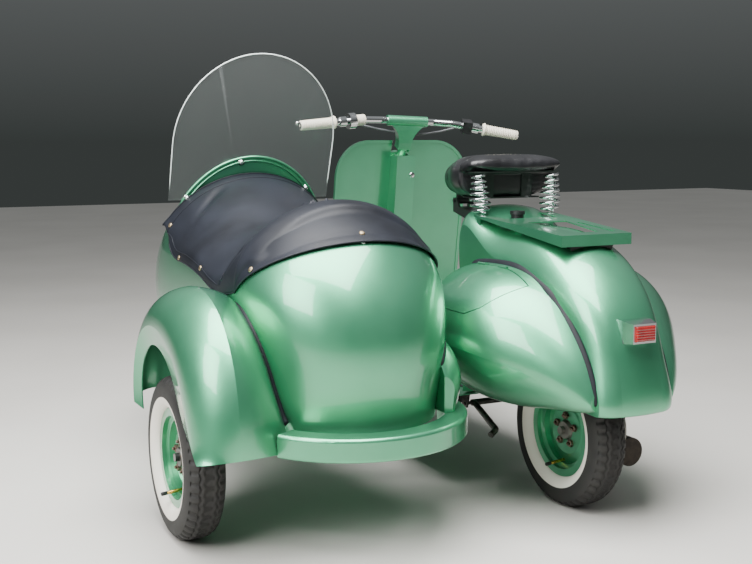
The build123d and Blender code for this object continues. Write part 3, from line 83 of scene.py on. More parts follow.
def finish(name, shades, patch_mm, rough, grain_mm=0.0, grain_deep=0.0, **inputs):
    """A material whose colour and gloss drift between two shades over patches of a size, with
    a fine grain of a size and depth in millimetres; inputs are set on the shader's sockets."""
    material = bpy.data.materials.new(name)
    material.use_nodes = True
    material.node_tree.nodes.clear()
    sockets = {key.replace("_", " "): value for key, value in inputs.items()}
    shader = add(material, "ShaderNodeBsdfPrincipled", sockets)
    add(material, "ShaderNodeOutputMaterial", {"Surface": shader.outputs[0]})
    where = add(material, "ShaderNodeTexCoord").outputs["Object"]
    patch = add(material, "ShaderNodeTexNoise", {"Vector": where, "Scale": 1000 / patch_mm, "Detail": 4.0})
    ramp = add(material, "ShaderNodeValToRGB", {"Fac": patch.outputs["Fac"]})
    for element, position, shade in zip(ramp.color_ramp.elements, (PATCH_LOW, PATCH_HIGH), shades):
        element.position = position
        element.color = linear(shade)
    material.node_tree.links.new(ramp.outputs["Color"], shader.inputs["Base Color"])
    gloss = add(material, "ShaderNodeMapRange", {
        "Value": patch.outputs["Fac"], "From Min": GLOSS_LOW, "From Max": GLOSS_HIGH,
        "To Min": rough[0], "To Max": rough[1]})
    material.node_tree.links.new(gloss.outputs["Result"], shader.inputs["Roughness"])
    if grain_mm:
        grain = add(material, "ShaderNodeTexVoronoi", {"Vector": where, "Scale": 1000 / grain_mm})
        bump = add(material, "ShaderNodeBump", {
            "Height": grain.outputs["Distance"], "Strength": GRAIN_STRENGTH, "Distance": grain_deep / 1000})
        material.node_tree.links.new(bump.outputs["Normal"], shader.inputs["Normal"])
    return material


FLOOR_HALF = 14.0
floor_mesh = bpy.data.meshes.new("floor")
floor_mesh.from_pydata(
    [(-FLOOR_HALF, -FLOOR_HALF, 0), (FLOOR_HALF, -FLOOR_HALF, 0),
     (FLOOR_HALF, FLOOR_HALF, 0), (-FLOOR_HALF, FLOOR_HALF, 0)], [], [(0, 1, 2, 3)])
floor = bpy.data.objects.new("floor", floor_mesh)
bpy.context.scene.collection.objects.link(floor)
floor_mesh.materials.append(finish("matt_studio_floor", ("#bdbab4", "#c3c0ba"), 900, (0.85, 0.9)))

# The world: dark grey at the horizon and nearly white overhead, for paint and chrome to mirror.
HORIZON, OVERHEAD, OVERHEAD_RISE, SKY_STRENGTH = "#585e5c", "#f2f6f8", 0.75, 0.42
world = bpy.data.worlds.new("studio")
bpy.context.scene.world = world
world.use_nodes = True
rise = add(world, "ShaderNodeSeparateXYZ", {"Vector": add(world, "ShaderNodeTexCoord").outputs["Generated"]})
sky = add(world, "ShaderNodeValToRGB", {"Fac": rise.outputs["Z"]})
for element, position, shade in zip(sky.color_ramp.elements, (0.0, OVERHEAD_RISE), (HORIZON, OVERHEAD)):
    element.position = position
    element.color = linear(shade)
world.node_tree.links.new(sky.outputs["Color"], world.node_tree.nodes["Background"].inputs["Color"])
world.node_tree.nodes["Background"].inputs["Strength"].default_value = SKY_STRENGTH


def soft_light(name, where, aim, size, watts):
    """A square soft light at a place, turned towards another."""
    lamp = bpy.data.lights.new(name, "AREA")
    lamp.size = size
    lamp.energy = watts
    holder = bpy.data.objects.new(name, lamp)
    bpy.context.scene.collection.objects.link(holder)
    start, end = Vector(place(where)), Vector(place(aim))
    holder.location = start
    holder.rotation_euler = (end - start).to_track_quat("-Z", "Y").to_euler()


MIDDLE = (-350, 400, 450)
soft_light("overhead", (-1000, -300, 3300), MIDDLE, 2.8, 420)
soft_light("left_rear", (-3000, -900, 2100), MIDDLE, 1.6, 110)

# The camera's place in millimetres, and its own right, up and ahead, from a fit to the three
# wheels in the photograph.
CAMERA_AT = (-1678.0, -2326.8, 938.5)
CAMERA_RIGHT = Vector((0.90006, -0.43575, -0.00347))
CAMERA_UP = Vector((0.05775, 0.11138, 0.99210))
CAMERA_AHEAD = Vector((0.43192, 0.89315, -0.12542))
FOCAL_PIXELS = 1117.24
PHOTO_WIDTH = 752
camera_data = bpy.data.cameras.new("camera")
camera_data.sensor_width = 36.0
camera_data.lens = FOCAL_PIXELS / PHOTO_WIDTH * camera_data.sensor_width
camera = bpy.data.objects.new("camera", camera_data)
bpy.context.scene.collection.objects.link(camera)
camera.matrix_world = Matrix.Translation(Vector(place(CAMERA_AT))) @ Matrix(
    (CAMERA_RIGHT, CAMERA_UP, -CAMERA_AHEAD)).transposed().to_4x4()
bpy.context.scene.camera = camera

# Painted bodywork: pressed steel sprayed in a two-coat metallic enamel, a jade base with
# aluminium flake under clear lacquer, so that highlights go nearly white and shade is deep.
# The flake is really under 0.1 mm, and is drawn coarser so that it shows.
FLAKE_MM = 1.1
jade = finish("metallic_jade_enamel", ("#4fa57b", "#58ad83"), 170, (0.34, 0.39), FLAKE_MM, 0.02,
              Metallic=0.85, Coat_Weight=1.0, Coat_Roughness=0.05, Coat_IOR=1.5)


def dress(material, *names):
    """Gives the named CAD nodes this finish."""
    for name in names:
        mesh = nodes[name].data
        mesh.materials.clear()
        mesh.materials.append(material)


dress(jade, "side_body", "coaming", "side_fender", "side_bumper", "side_fairing", "side_rim", "rear_rim",
      "front_rim", "rear_body", "left_cowl", "toolbox_lid", "right_cowl", "leg_shield", "floor_board",
      "column_cover", "luggage_rack", "front_mudguard", "headlamp_shell", "handlebar_head", "fork")

# Metals and plain parts: chrome is nickel-chrome plate on polished steel, with faint haze;
# forged and cast parts are duller; the frame tubes are stove enamelled nearly black. Small
# black parts are moulded plastic, and the cables' sheaths are grey vinyl.
chrome = finish("chromium_plate", ("#cfd1d2", "#dcdddd"), 60, (0.05, 0.16), Metallic=1.0)
dress(chrome, "tail_lamp_housing", "handlebar_tube", "levers", "twist_control")
steel = finish("dull_forged_steel", ("#565451", "#7a7874"), 18, (0.35, 0.6), 1.5, 0.1, Metallic=1.0)
dress(steel, "side_hub", "stand_brackets", "centre_stand", "brake_pedal", "kick_lever")
cast = finish("sand_cast_aluminium", ("#7d7b77", "#97958f"), 25, (0.45, 0.6), 1.5, 0.35, Metallic=1.0)
dress(cast, "engine_block", "rear_drum", "front_drum")
heat_black = finish("heat_dulled_black_steel", ("#2b2623", "#4a433c"), 22, (0.5, 0.75), 1.2, 0.15,
                    Metallic=0.7)
dress(heat_black, "silencer")
frame_black = finish("stove_enamelled_black", ("#141b18", "#1f2723"), 40, (0.3, 0.5), 2.5, 0.05,
                     Coat_Weight=0.4)
dress(frame_black, "side_chassis", "rack_bracket", "saddle_bracket", "saddle_frame")
moulded_black = finish("moulded_black_plastic", ("#121213", "#1b1b1d"), 20, (0.35, 0.5), 0.8, 0.04)
dress(moulded_black, "fuel_cap", "switch_box")
cream_rubber = finish("cream_moulded_rubber", ("#d3ccba", "#dbd5c5"), 25, (0.5, 0.65), 0.7, 0.05)
dress(cream_rubber, "twist_boot")
sheath = finish("grey_vinyl_cable_sheath", ("#4c4d50", "#636468"), 30, (0.4, 0.5), 0.6, 0.03)
dress(sheath, "control_cables")

# Tyres: cross-ply, black moulded rubber, with an ivory rubber band let into both side walls;
# zigzag grooves run round the tread and slots cross its shoulders.
MERGE_M = 2e-6


def made_whole(mesh):
    """Merges the points of a mesh that coincide, and turns its faces outwards."""
    merged = bmesh.new()
    merged.from_mesh(mesh)
    bmesh.ops.remove_doubles(merged, verts=merged.verts, dist=MERGE_M)
    bmesh.ops.recalc_face_normals(merged, faces=merged.faces)
    merged.to_mesh(mesh)
    merged.free()


def build(name, patches, material, body, smooth=True, mark=None):
    """A piece from grids of points in millimetres: quads join each point to the next along
    both directions, closing where a grid wraps; points that coincide are merged."""
    points, quads, start = [], [], 0
    for xyz, wrap_u, wrap_v in patches:
        n, m = xyz.shape[:2]
        i = np.arange(n if wrap_u else n - 1)[:, None]
        j = np.arange(m if wrap_v else m - 1)[None, :]
        i1, j1 = (i + 1) % n, (j + 1) % m
        corners = [i * m + j, i1 * m + j, i1 * m + j1, i * m + j1]
        quads.append(start + np.stack(corners, -1).reshape(-1, 4))
        points.append(xyz.reshape(-1, 3))
        start += n * m
    mesh = bpy.data.meshes.new(name)
    mesh.from_pydata(place(np.concatenate(points)).tolist(), [], np.concatenate(quads).tolist())
    if mark is not None:
        values = mark.ravel().astype(np.float32)
        mesh.attributes.new("mark", "FLOAT", "POINT").data.foreach_set("value", values)
    made_whole(mesh)
    mesh.polygons.foreach_set("use_smooth", [smooth] * len(mesh.polygons))
    mesh.materials.append(material)
    piece = bpy.data.objects.new(name, mesh)
    bpy.context.scene.collection.objects.link(piece)
    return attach(piece, body)


HEAD_PIVOT = np.array([0.0, 910.0, 1001.0])
RAKE = radians(20.5)
BAR_TURN = radians(-7.0)
STEER_UP = np.array([0.0, -sin(RAKE), cos(RAKE)])
STEER_FRONT = np.array([0.0, cos(RAKE), sin(RAKE)])


def steered(points):
    """Points of the straight-ahead steering, turned about the raked axis by the bar's angle."""
    arm = points - HEAD_PIVOT
    along = (arm @ STEER_UP)[..., None] * STEER_UP
    across = arm - along
    return HEAD_PIVOT + along + across * cos(BAR_TURN) + np.cross(STEER_UP, across) * sin(BAR_TURN)


def as_set(points):
    """Points that the steering doesn't move stay where they are."""
    return points


TYRE_R, TYRE_HALF = 195.0, 47.0
WIDE_R = 150.0
BEAD_R, BEAD_HALF = 104.0, 26.0
FLANGE_R, FLANGE_CLEAR = 118.0, 0.6
CROWN_SQUARE, CROWN_FLAT = 0.55, 0.8
PITCHES, PITCH_STEPS = 46, 8
GROOVE_DEEP, GROOVE_HALF, ZIGZAG = 4.5, 2.4, 3.0
GROOVES_X = (-21.0, -7.0, 7.0, 21.0)
TREAD_DEEP, TREAD_HALF = 14.0, 41.0
SLOT_SHARE, SLOT_FROM_X = 0.13, 26.0


def tyre_points():
    """Around: even angles. Across: a half superellipse over the tread, quarter ellipses down to
    the beads, closed by a straight base; grooves lower the radius where their masks are 1."""
    turn = np.linspace(0, 2 * pi, PITCHES * PITCH_STEPS, endpoint=False)[:, None]
    t = np.linspace(0, pi, 86)
    x = TYRE_HALF * np.sign(np.cos(t)) * np.abs(np.cos(t)) ** CROWN_SQUARE
    r = WIDE_R + (TYRE_R - WIDE_R) * np.sin(t) ** CROWN_FLAT
    s = np.linspace(pi / 2, 0, 9)[:-1]
    low_x = BEAD_HALF + (TYRE_HALF - BEAD_HALF) * np.cos(s)
    low_r = WIDE_R - (WIDE_R - FLANGE_R - FLANGE_CLEAR) * np.sin(s)
    x = np.concatenate([[BEAD_HALF], low_x, x, -low_x[::-1], [-BEAD_HALF]])[None, :]
    r = np.concatenate([[BEAD_R], low_r, r, low_r[::-1], [BEAD_R]])[None, :]
    phase = turn * PITCHES / (2 * pi) % 1.0
    zigzag = ZIGZAG * (4 * np.abs(phase - 0.5) - 1)
    tread = (r > TYRE_R - TREAD_DEEP) & (np.abs(x) < TREAD_HALF)
    grooves = [np.clip(GROOVE_HALF - np.abs(x - groove - zigzag), 0, 1) for groove in GROOVES_X]
    slots = (np.abs(phase - 0.5) < SLOT_SHARE) & (np.abs(x) > SLOT_FROM_X)
    deep = np.maximum(np.max(grooves, axis=0), slots) * tread
    radius = r - GROOVE_DEEP * deep
    points = np.stack([x + 0 * radius, radius * np.cos(turn), radius * np.sin(turn)], -1)
    return points, r + 0 * radius


# The ivory band lies between two radii, of which each point of the tyre carries its own as a
# mark; a ramp over 100 mm of radius turns the mark into the share of ivory.
BAND_IN_R, BAND_OUT_R, BAND_SOFT, RAMP_FROM_R, RAMP_TO_R = 118.2, 144.8, 1.0, 100.0, 200.0
tyre_rubber = finish("moulded_tyre_rubber", ("#191919", "#2a2927"), 45, (0.6, 0.8), 1.2, 0.12)
shader = tyre_rubber.node_tree.nodes["Principled BSDF"]
black = shader.inputs["Base Color"].links[0].from_socket
radius_mark = add(tyre_rubber, "ShaderNodeAttribute", attribute_name="mark").outputs["Fac"]
share = add(tyre_rubber, "ShaderNodeMapRange", {
    "Value": radius_mark, "From Min": RAMP_FROM_R, "From Max": RAMP_TO_R})
wall = add(tyre_rubber, "ShaderNodeValToRGB", {"Fac": share.outputs["Result"]})
band_edges = (
    (BAND_IN_R, 0.0), (BAND_IN_R + BAND_SOFT, 1.0), (BAND_OUT_R, 1.0), (BAND_OUT_R + BAND_SOFT, 0.0))
for k, (radius, value) in enumerate(band_edges):
    position = (radius - RAMP_FROM_R) / (RAMP_TO_R - RAMP_FROM_R)
    element = wall.color_ramp.elements[k] if k < 2 else wall.color_ramp.elements.new(position)
    element.position = position
    element.color = (value, value, value, 1.0)
banded = add(tyre_rubber, "ShaderNodeMix", {
    "Factor": wall.outputs["Color"], "A": black, "B": linear("#e6e1d6")}, data_type="RGBA")
tyre_rubber.node_tree.links.new(banded.outputs["Result"], shader.inputs["Base Color"])

WHEELS = (
    ("side", (-962.0, 201.0, 195.0), "side_wheel", as_set),
    ("rear", (0.0, 0.0, 195.0), "rear_wheel", as_set),
    ("front", (0.0, 1205.0, 195.0), "front_wheel", steered),
)
section_points, section_radius = tyre_points()
for name, centre, body, setting in WHEELS:
    tyre = build(name + "_tread_tyre", [(setting(section_points + np.array(centre)), True, True)],
                 tyre_rubber, body, mark=section_radius)
    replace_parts(tyre, name + "_tyre")

# Wheel nuts and valves: five plated hexagon nuts on studs, turned brown with age, hold each
# wheel; a brass valve stem with a black cap comes out through the rim.


def turned(profile, start, axis, sides=48):
    """A profile of (along, radius) pairs turned about an axis through a start point."""
    axis = np.array(axis, float) / np.linalg.norm(axis)
    first = np.cross(axis, (0.0, 0.0, 1.0) if abs(axis[2]) < 0.9 else (1.0, 0.0, 0.0))
    first /= np.linalg.norm(first)
    second = np.cross(axis, first)
    along, radius = np.array(profile, float).T
    turn = np.linspace(0, 2 * pi, sides, endpoint=False)[:, None, None]
    spoke = first * np.cos(turn) + second * np.sin(turn)
    return np.array(start, float) + along[None, :, None] * axis + radius[None, :, None] * spoke


# Profiles are (along, radius) pairs in millimetres.
NUT_COUNT, NUT_CIRCLE_R, NUT_ACROSS, NUT_HIGH = 5, 38.0, 17.0, 8.0
DISC_LEFT_X = -7.0
nut_r = NUT_ACROSS / 2 / cos(pi / 6)
NUT = [(0, 0), (0, 10.5), (1.6, 10.5), (1.6, nut_r), (NUT_HIGH - 1.2, nut_r), (NUT_HIGH, nut_r - 1.6),
       (NUT_HIGH, 0)]
STUD = [(0, 4), (NUT_HIGH + 4.5, 4), (NUT_HIGH + 5.5, 3.2), (NUT_HIGH + 5.5, 0)]
aged_plate = finish("aged_zinc_plated_steel", ("#5b3f33", "#8d7f74"), 6, (0.4, 0.6), Metallic=1.0)
brass = finish("machined_brass", ("#a98538", "#c8a552"), 5, (0.22, 0.38), Metallic=1.0)
VALVE_R, VALVE_TURN, VALVE_X, VALVE_LEAN = 88.0, radians(-78), -8.0, 0.12
VALVE = [(-14, 0), (-14, 4.2), (30, 4.2), (31, 3.4), (37, 3.4), (37, 0)]
VALVE_CAP = [(33, 0), (33, 4.8), (46, 4.8), (48, 3.6), (48, 0)]
for name, centre, body, setting in WHEELS:
    nuts = []
    for k in range(NUT_COUNT):
        turn = pi / 2 + 2 * pi * k / NUT_COUNT
        seat = np.array(centre) + (DISC_LEFT_X, NUT_CIRCLE_R * cos(turn), NUT_CIRCLE_R * sin(turn))
        nuts += [(setting(turned(NUT, seat, (-1, 0, 0), 6)), True, False),
                 (setting(turned(STUD, seat, (-1, 0, 0), 12)), True, False)]
    build(name + "_wheel_nuts", nuts, aged_plate, body, smooth=False)
    root = np.array(centre) + (VALVE_X, VALVE_R * cos(VALVE_TURN), VALVE_R * sin(VALVE_TURN))
    lean = (-1.0, VALVE_LEAN * cos(VALVE_TURN), VALVE_LEAN * sin(VALVE_TURN))
    build(name + "_valve_stem", [(setting(turned(VALVE, root, lean, 16)), True, False)], brass, body)
    build(name + "_valve_cap", [(setting(turned(VALVE_CAP, root, lean, 16)), True, False)],
          moulded_black, body)

# Edging strips: dark extruded rubber squeezed into the joints where the mudguard and the
# fairing meet the sidecar's hull, and where each cowl meets the shell, so that painted edges
# don't rub.


def through(points, count):
    """A smooth curve through the points: each span blends its four nearest points by cubic
    weights, with the end tangents taken from the end spans."""
    p = np.array(points, float)
    p = np.concatenate([[2 * p[0] - p[1]], p, [2 * p[-1] - p[-2]]])
    t = np.linspace(0, len(points) - 1, count)
    i = np.minimum(t.astype(int), len(points) - 2)
    s = (t - i)[:, None]
    a, b, c, d = p[i], p[i + 1], p[i + 2], p[i + 3]
    return 0.5 * (2 * b + (c - a) * s + (2 * a - 5 * b + 4 * c - d) * s ** 2
                  + (3 * b - a - 3 * c + d) * s ** 3)


def carried(path, half_wide, half_thick, outward, sides=12):
    """An ellipse carried along a path, its short axis towards `outward`, closing to a point
    at both ends over the last two steps."""
    tangent = np.gradient(path, axis=0)
    tangent /= np.linalg.norm(tangent, axis=1, keepdims=True)
    side = np.cross(tangent, np.broadcast_to(outward, path.shape))
    side /= np.linalg.norm(side, axis=1, keepdims=True)
    normal = np.cross(side, tangent)
    turn = np.linspace(0, 2 * pi, sides, endpoint=False)[None, :, None]
    size = np.ones(len(path))
    size[[0, -1]], size[[1, -2]] = 0.0, 0.8
    size = size[:, None, None]
    return (path[:, None, :] + size * (half_wide * np.cos(turn) * side[:, None, :]
                                       + half_thick * np.sin(turn) * normal[:, None, :]))


def strand(name, path, halves, outward, sides, material):
    """A piece that stays with the scooter: an ellipse of two half sizes carried along a path."""
    return build(name, [(carried(path, *halves, outward, sides), False, True)], material, "scooter")


edging = finish("extruded_dark_rubber", ("#101216", "#171a20"), 30, (0.5, 0.6), 0.8, 0.04,
                Specular_IOR_Level=0.25)
MUDGUARD_JOINT = [
    (-824, 449, 330), (-834, 440, 397), (-842, 402, 467), (-849, 344, 524), (-853, 273, 556),
    (-854, 190, 562), (-852, 102, 555), (-846, 54, 524), (-834, 20, 476), (-822, -2, 421),
    (-810, -16, 364), (-802, -28, 326), (-797, -40, 306),
]
FAIRING_JOINT = [
    (-420, -75, 414), (-396, -46, 439), (-377, -10, 457), (-364, 32, 467), (-360, 76, 472),
    (-359, 173, 469), (-360, 269, 457), (-363, 360, 425), (-369, 440, 371),
]
COWL_JOINT = [
    (142, 285, 560), (141, 255, 596), (140, 227, 616), (141, 117, 625), (140, 20, 618),
    (132, -80, 579), (126, -123, 541), (121, -170, 492), (116, -210, 437), (112, -240, 376),
    (109, -252, 318),
]
# Name, points on the joint, steps along it, half width and half thickness, and its outward side
EDGINGS = (
    ("mudguard_edging", MUDGUARD_JOINT, 90, (10, 7), (-0.9, -0.1, 0.4)),
    ("fairing_edging", FAIRING_JOINT, 60, (6, 4.5), (0.8, 0, 0.6)),
    ("left_cowl_edging", [(-x, y, z) for x, y, z in COWL_JOINT], 100, (12, 5), (-0.75, -0.25, 0.6)),
    ("right_cowl_edging", COWL_JOINT, 100, (12, 5), (0.75, -0.25, 0.6)),
)
for name, points, steps, halves, outward in EDGINGS:
    strand(name, through(points, steps), halves, outward, 12, edging)

# Windscreen: a 4 mm sheet of cast acrylic with a polished edge. It leans back from a line
# across the hull, and is bolted to the coaming's flange.
SCREEN_FOOT = np.array([-600.0, 735.0, 780.0])
SCREEN_LEAN = radians(19.8)
SCREEN_ACROSS = np.array([1.0, 0.0, 0.0])
SCREEN_SLOPE = np.array([0.0, -sin(SCREEN_LEAN), cos(SCREEN_LEAN)])
SCREEN_REAR = np.array([0.0, -cos(SCREEN_LEAN), -sin(SCREEN_LEAN)])
# The plane is the flange's front face; the middle of the sheet's thickness lies in front of it.
SCREEN_MIDDLE = -2.3


def on_screen(across, up, back):
    """Points of the leaning plane: across, up the slope, and behind it."""
    across, up = np.asarray(across, float), np.asarray(up, float)
    return (SCREEN_FOOT + across[..., None] * SCREEN_ACROSS + up[..., None] * SCREEN_SLOPE
            + back * SCREEN_REAR)


acrylic = finish("clear_cast_acrylic", ("#dfe9e6", "#e6efec"), 300, (0.03, 0.05), Alpha=0.035, IOR=1.49)
sheet_mesh = nodes["windscreen"].data.copy()
made_whole(sheet_mesh)
sheet_mesh.materials.clear()
sheet_mesh.materials.append(acrylic)
screen = bpy.data.objects.new("windscreen_sheet", sheet_mesh)
bpy.context.scene.collection.objects.link(screen)
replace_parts(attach(screen, "scooter"), "windscreen")

# The edge runs straight up one side to the spring of the arch, over it and straight down. Its near-white,
# nearly opaque strip is a painted highlight for the light caught along the sheet's edge.
SHEET_HALF, SHEET_TOP, SHEET_SPRING, SHEET_SIDE_LOW = 238.0, 419.0, 159.0, 22.0
SIDE_STEPS, SIDE_SHORT, EDGE_HALVES = 6, 8.0, (1.6, 2.1)
edge_painted_highlight = finish("acrylic_edge_painted_highlight", ("#dbe6e2", "#f4faf7"), 40, (0.15, 0.3), Alpha=0.9)
t = np.linspace(pi, 0, 80)
arch_x = np.concatenate([[-SHEET_HALF] * SIDE_STEPS, SHEET_HALF * np.cos(t), [SHEET_HALF] * SIDE_STEPS])
side_up = np.linspace(SHEET_SIDE_LOW, SHEET_SPRING - SIDE_SHORT, SIDE_STEPS)
arch_up = np.concatenate([side_up, SHEET_SPRING + (SHEET_TOP - SHEET_SPRING) * np.sin(t), side_up[::-1]])
strand("windscreen_edge", on_screen(arch_x, arch_up, SCREEN_MIDDLE), EDGE_HALVES, SCREEN_REAR, 8,
       edge_painted_highlight)

# Coaming trim: two beads rolled into the enamelled steel flange along its arch, and the three
# domed chrome nuts on washers that hold the windscreen to it.
FLANGE_HALF, FLANGE_TOP, FLANGE_CENTRE, FLANGE_THICK = 250.0, 124.0, -194.5, 3.0
# Name, distance inside the flange's edge, radius, place behind the plane, and the ends' height
BEADS = (("coaming_outer_bead", 2.0, 4.2, 1.5, -18.0), ("coaming_inner_bead", 13.0, 3.0, 3.0, -10.0))
for name, inset, bead_r, back, end_up in BEADS:
    top = FLANGE_TOP - inset - FLANGE_CENTRE
    first = np.arcsin((end_up - FLANGE_CENTRE) / top)
    t = np.linspace(pi - first, first, 70)
    path = on_screen((FLANGE_HALF - inset) * np.cos(t), FLANGE_CENTRE + top * np.sin(t), back)
    strand(name, path, (bead_r, bead_r), SCREEN_REAR, 12, jade)
DOMED_NUT = [(0, 0), (0, 10), (1.4, 10), (1.4, 6.5), (5, 6.5), (7.5, 4.8), (8.8, 2.4), (9.2, 0)]
BOLT_PLACES = ((-188.0, 3.0), (-38.0, 108.0), (168.0, 26.0))
seats = [on_screen(x, up, FLANGE_THICK) for x, up in BOLT_PLACES]
build("windscreen_nuts", [(turned(DOMED_NUT, seat, SCREEN_REAR, 24), True, False) for seat in seats],
      chrome, "scooter")

# Tonneau cover: coated cotton duck with a dull satin face, cut in one panel with a hemmed
# border, stretched over the cockpit and held to the body by press studs. It is a grid of rows
# across the hull: a fan of rows over the tail, then rows one after another to the windscreen.
COVER_X = -600.0
# y, and the height of the side hem there
HEM_POINTS = [
    (128, 588), (183, 579), (245, 569.5), (310, 577.5), (410, 601.5), (530, 617.5), (640, 623.5),
    (705, 661), (770, 713),
]
hem_line = through(HEM_POINTS, 200)
# Points across a row, rows along the panel, and rows in the tail's fan
COVER_ACROSS, COVER_ALONG, COVER_TAIL = 121, 120, 50
TAIL_FOOT, TAIL_TURN = (128.0, 588.0), radians(55.5)
FRONT_GAP, BODY_CLEAR, LEAN_FROM = 4.8, 2.6, 0.45
RAY_FROM, RAY_TO, RAY_TURN, RAYS, LEAST_FAR = 600.0, 2.0, 89.6, 301, 50.0


def rays_meet(name):
    """A search tree of the faces of one CAD node."""
    mesh = nodes[name].data
    corners = [vertex.co.copy() for vertex in mesh.vertices]
    return BVHTree.FromPolygons(corners, [tuple(face.vertices) for face in mesh.polygons])


cover_tree, body_tree = rays_meet("side_cover"), rays_meet("side_body")


def cover_row(foot_y, foot_z, lean):
    """Points across the cover in one leaning plane. Rays run in towards a foot from above and
    both sides; each stops at the plain cover, or at a small clearance from the body where that
    is further out. Rays that meet neither are dropped, and the stops are spaced evenly."""
    foot = np.array([COVER_X, foot_y, foot_z])
    hits = []
    for angle in np.radians(np.linspace(-RAY_TURN, RAY_TURN, RAYS)):
        out = np.array([sin(angle), -cos(angle) * sin(lean), cos(angle) * cos(lean)])
        start, inward = Vector(place(foot + RAY_FROM * out)), Vector(-out)
        far = []
        for tree, clear in ((cover_tree, 0.0), (body_tree, BODY_CLEAR)):
            run = tree.ray_cast(start, inward, (RAY_FROM - RAY_TO) / 1000)[3]
            far.append(RAY_FROM - 1000 * (run or RAY_FROM / 1000) + clear)
        if max(far) > LEAST_FAR:
            hits.append(foot + max(far) * out)
    hits = np.array(hits)
    walked = np.concatenate([[0], np.cumsum(np.linalg.norm(np.diff(hits, axis=0), axis=1))])
    even = np.linspace(0, walked[-1], COVER_ACROSS)
    return np.stack([np.interp(even, walked, hits[:, k]) for k in range(3)], -1)


tail = [cover_row(*TAIL_FOOT, turn) for turn in np.linspace(TAIL_TURN, 0, COVER_TAIL, endpoint=False)]
front_z = HEM_POINTS[-1][1]
front_y = (SCREEN_FOOT[1] - (front_z - SCREEN_FOOT[2]) * tan(SCREEN_LEAN)
           - FRONT_GAP / cos(SCREEN_LEAN))
panel = []
for share in np.linspace(0, 1, COVER_ALONG):
    foot_y = TAIL_FOOT[0] + share * (front_y - TAIL_FOOT[0])
    late = np.clip((share - LEAN_FROM) / (1 - LEAN_FROM), 0, 1)
    panel.append(cover_row(foot_y, np.interp(foot_y, hem_line[:, 0], hem_line[:, 1]),
                           SCREEN_LEAN * late ** 2 * (3 - 2 * late)))
grid = np.array(tail + panel)

# Easing: every point moves to the middle of its neighbours a few times, and the two corners
# of the tail many times; the side hems are eased along themselves.
EASE_PASSES, EARS_PASSES = 5, 40
EARS_ACROSS, EARS_SOFT, EARS_ROWS, EARS_FADE = 0.35, 0.2, 22, 12
across_share = np.abs(np.linspace(-1, 1, COVER_ACROSS))[None, :]
row = np.arange(len(grid))[:, None]
ears = (np.clip((across_share - EARS_ACROSS) / EARS_SOFT, 0, 1)
        * np.clip((COVER_TAIL + EARS_ROWS - row) / EARS_FADE, 0, 1))
for k in range(EARS_PASSES):
    weight = 1.0 if k < EASE_PASSES else ears[1:-1, 1:-1, None]
    middle = (grid[:-2, 1:-1] + grid[2:, 1:-1] + grid[1:-1, :-2] + grid[1:-1, 2:]) / 4
    grid[1:-1, 1:-1] += weight * (middle - grid[1:-1, 1:-1])
    for edge in (0, -1):
        grid[COVER_TAIL:-1, edge] = (grid[COVER_TAIL - 1:-2, edge] + 2 * grid[COVER_TAIL:-1, edge]
                                     + grid[COVER_TAIL + 1:, edge]) / 4

# Lifts and hollows of the cloth in millimetres, and where they run: the roll, hollow and flare
# by degrees of the tail's fan, the crease by y, and the fold along a line in plan.
ROLL_HIGH, ROLL_TURN, ROLL_WIDE = 7.0, 8.0, 12.0
HOLLOW_DEEP, HOLLOW_TURN, HOLLOW_WIDE = 4.0, 34.0, 8.0
FLARE_HIGH, FLARE_WIDE = 5.0, 7.0
CREASE_DEEP, CREASE_Y, CREASE_WIDE = 12.0, 238.0, 10.0
FOLD_FROM, FOLD_TO = np.array([-815.0, 606.0]), np.array([-690.0, 668.0])
FOLD_DEEP, FOLD_WIDE, FOLD_END = 6.0, 17.0, 0.06
COVER_MIDDLE = np.array([COVER_X, 300.0, 500.0])
EDGE_COLUMNS, CLEAR_ROWS = 12, 25
facing = np.cross(np.gradient(grid, axis=1), np.gradient(grid, axis=0))
facing /= np.maximum(np.linalg.norm(facing, axis=-1, keepdims=True), 1e-9)
facing *= np.sign((facing * (grid - COVER_MIDDLE)).sum(-1, keepdims=True))
x, y = grid[..., 0], grid[..., 1]
turn = (np.degrees(TAIL_TURN) * np.clip(1 - row / COVER_TAIL, 0, 1)
        - (y - TAIL_FOOT[0]) * (row >= COVER_TAIL))
lift = ROLL_HIGH * np.exp(-((turn - ROLL_TURN) / ROLL_WIDE) ** 2)
lift -= HOLLOW_DEEP * np.exp(-((turn - HOLLOW_TURN) / HOLLOW_WIDE) ** 2)
lift += FLARE_HIGH * np.clip(1 - (np.degrees(TAIL_TURN) - turn) / FLARE_WIDE, 0, 1)
lift -= CREASE_DEEP * np.exp(-np.abs(y - CREASE_Y) / CREASE_WIDE)
fold = FOLD_TO - FOLD_FROM
reach = np.clip(((x - FOLD_FROM[0]) * fold[0] + (y - FOLD_FROM[1]) * fold[1]) / (fold @ fold), 0, 1)
away = np.hypot(x - FOLD_FROM[0] - reach * fold[0], y - FOLD_FROM[1] - reach * fold[1])
lift -= FOLD_DEEP * np.exp(-(away / FOLD_WIDE) ** 2) * np.sin(pi * np.clip(reach, FOLD_END, 1 - FOLD_END))
column = np.arange(COVER_ACROSS)
inside = np.clip(np.minimum(column, column[::-1]) / EDGE_COLUMNS, 0, 1)[None, :]
grid = grid + facing * (lift * inside)[..., None]
for row_points in grid[:COVER_TAIL + CLEAR_ROWS, 1:-1]:
    for point in row_points:
        spot, normal, _, _ = body_tree.find_nearest(Vector(place(point)))
        above = (Vector(place(point)) - spot) @ normal * 1000
        if above < BODY_CLEAR:
            point += (BODY_CLEAR - above) * np.array(normal)
vinyl = finish("satin_coated_cotton_duck", ("#13151b", "#1a1d25"), 120, (0.42, 0.52), 1.3, 0.10,
               Specular_IOR_Level=0.3)
cover = build("tonneau_cover", [(grid, False, False)], vinyl, "scooter")


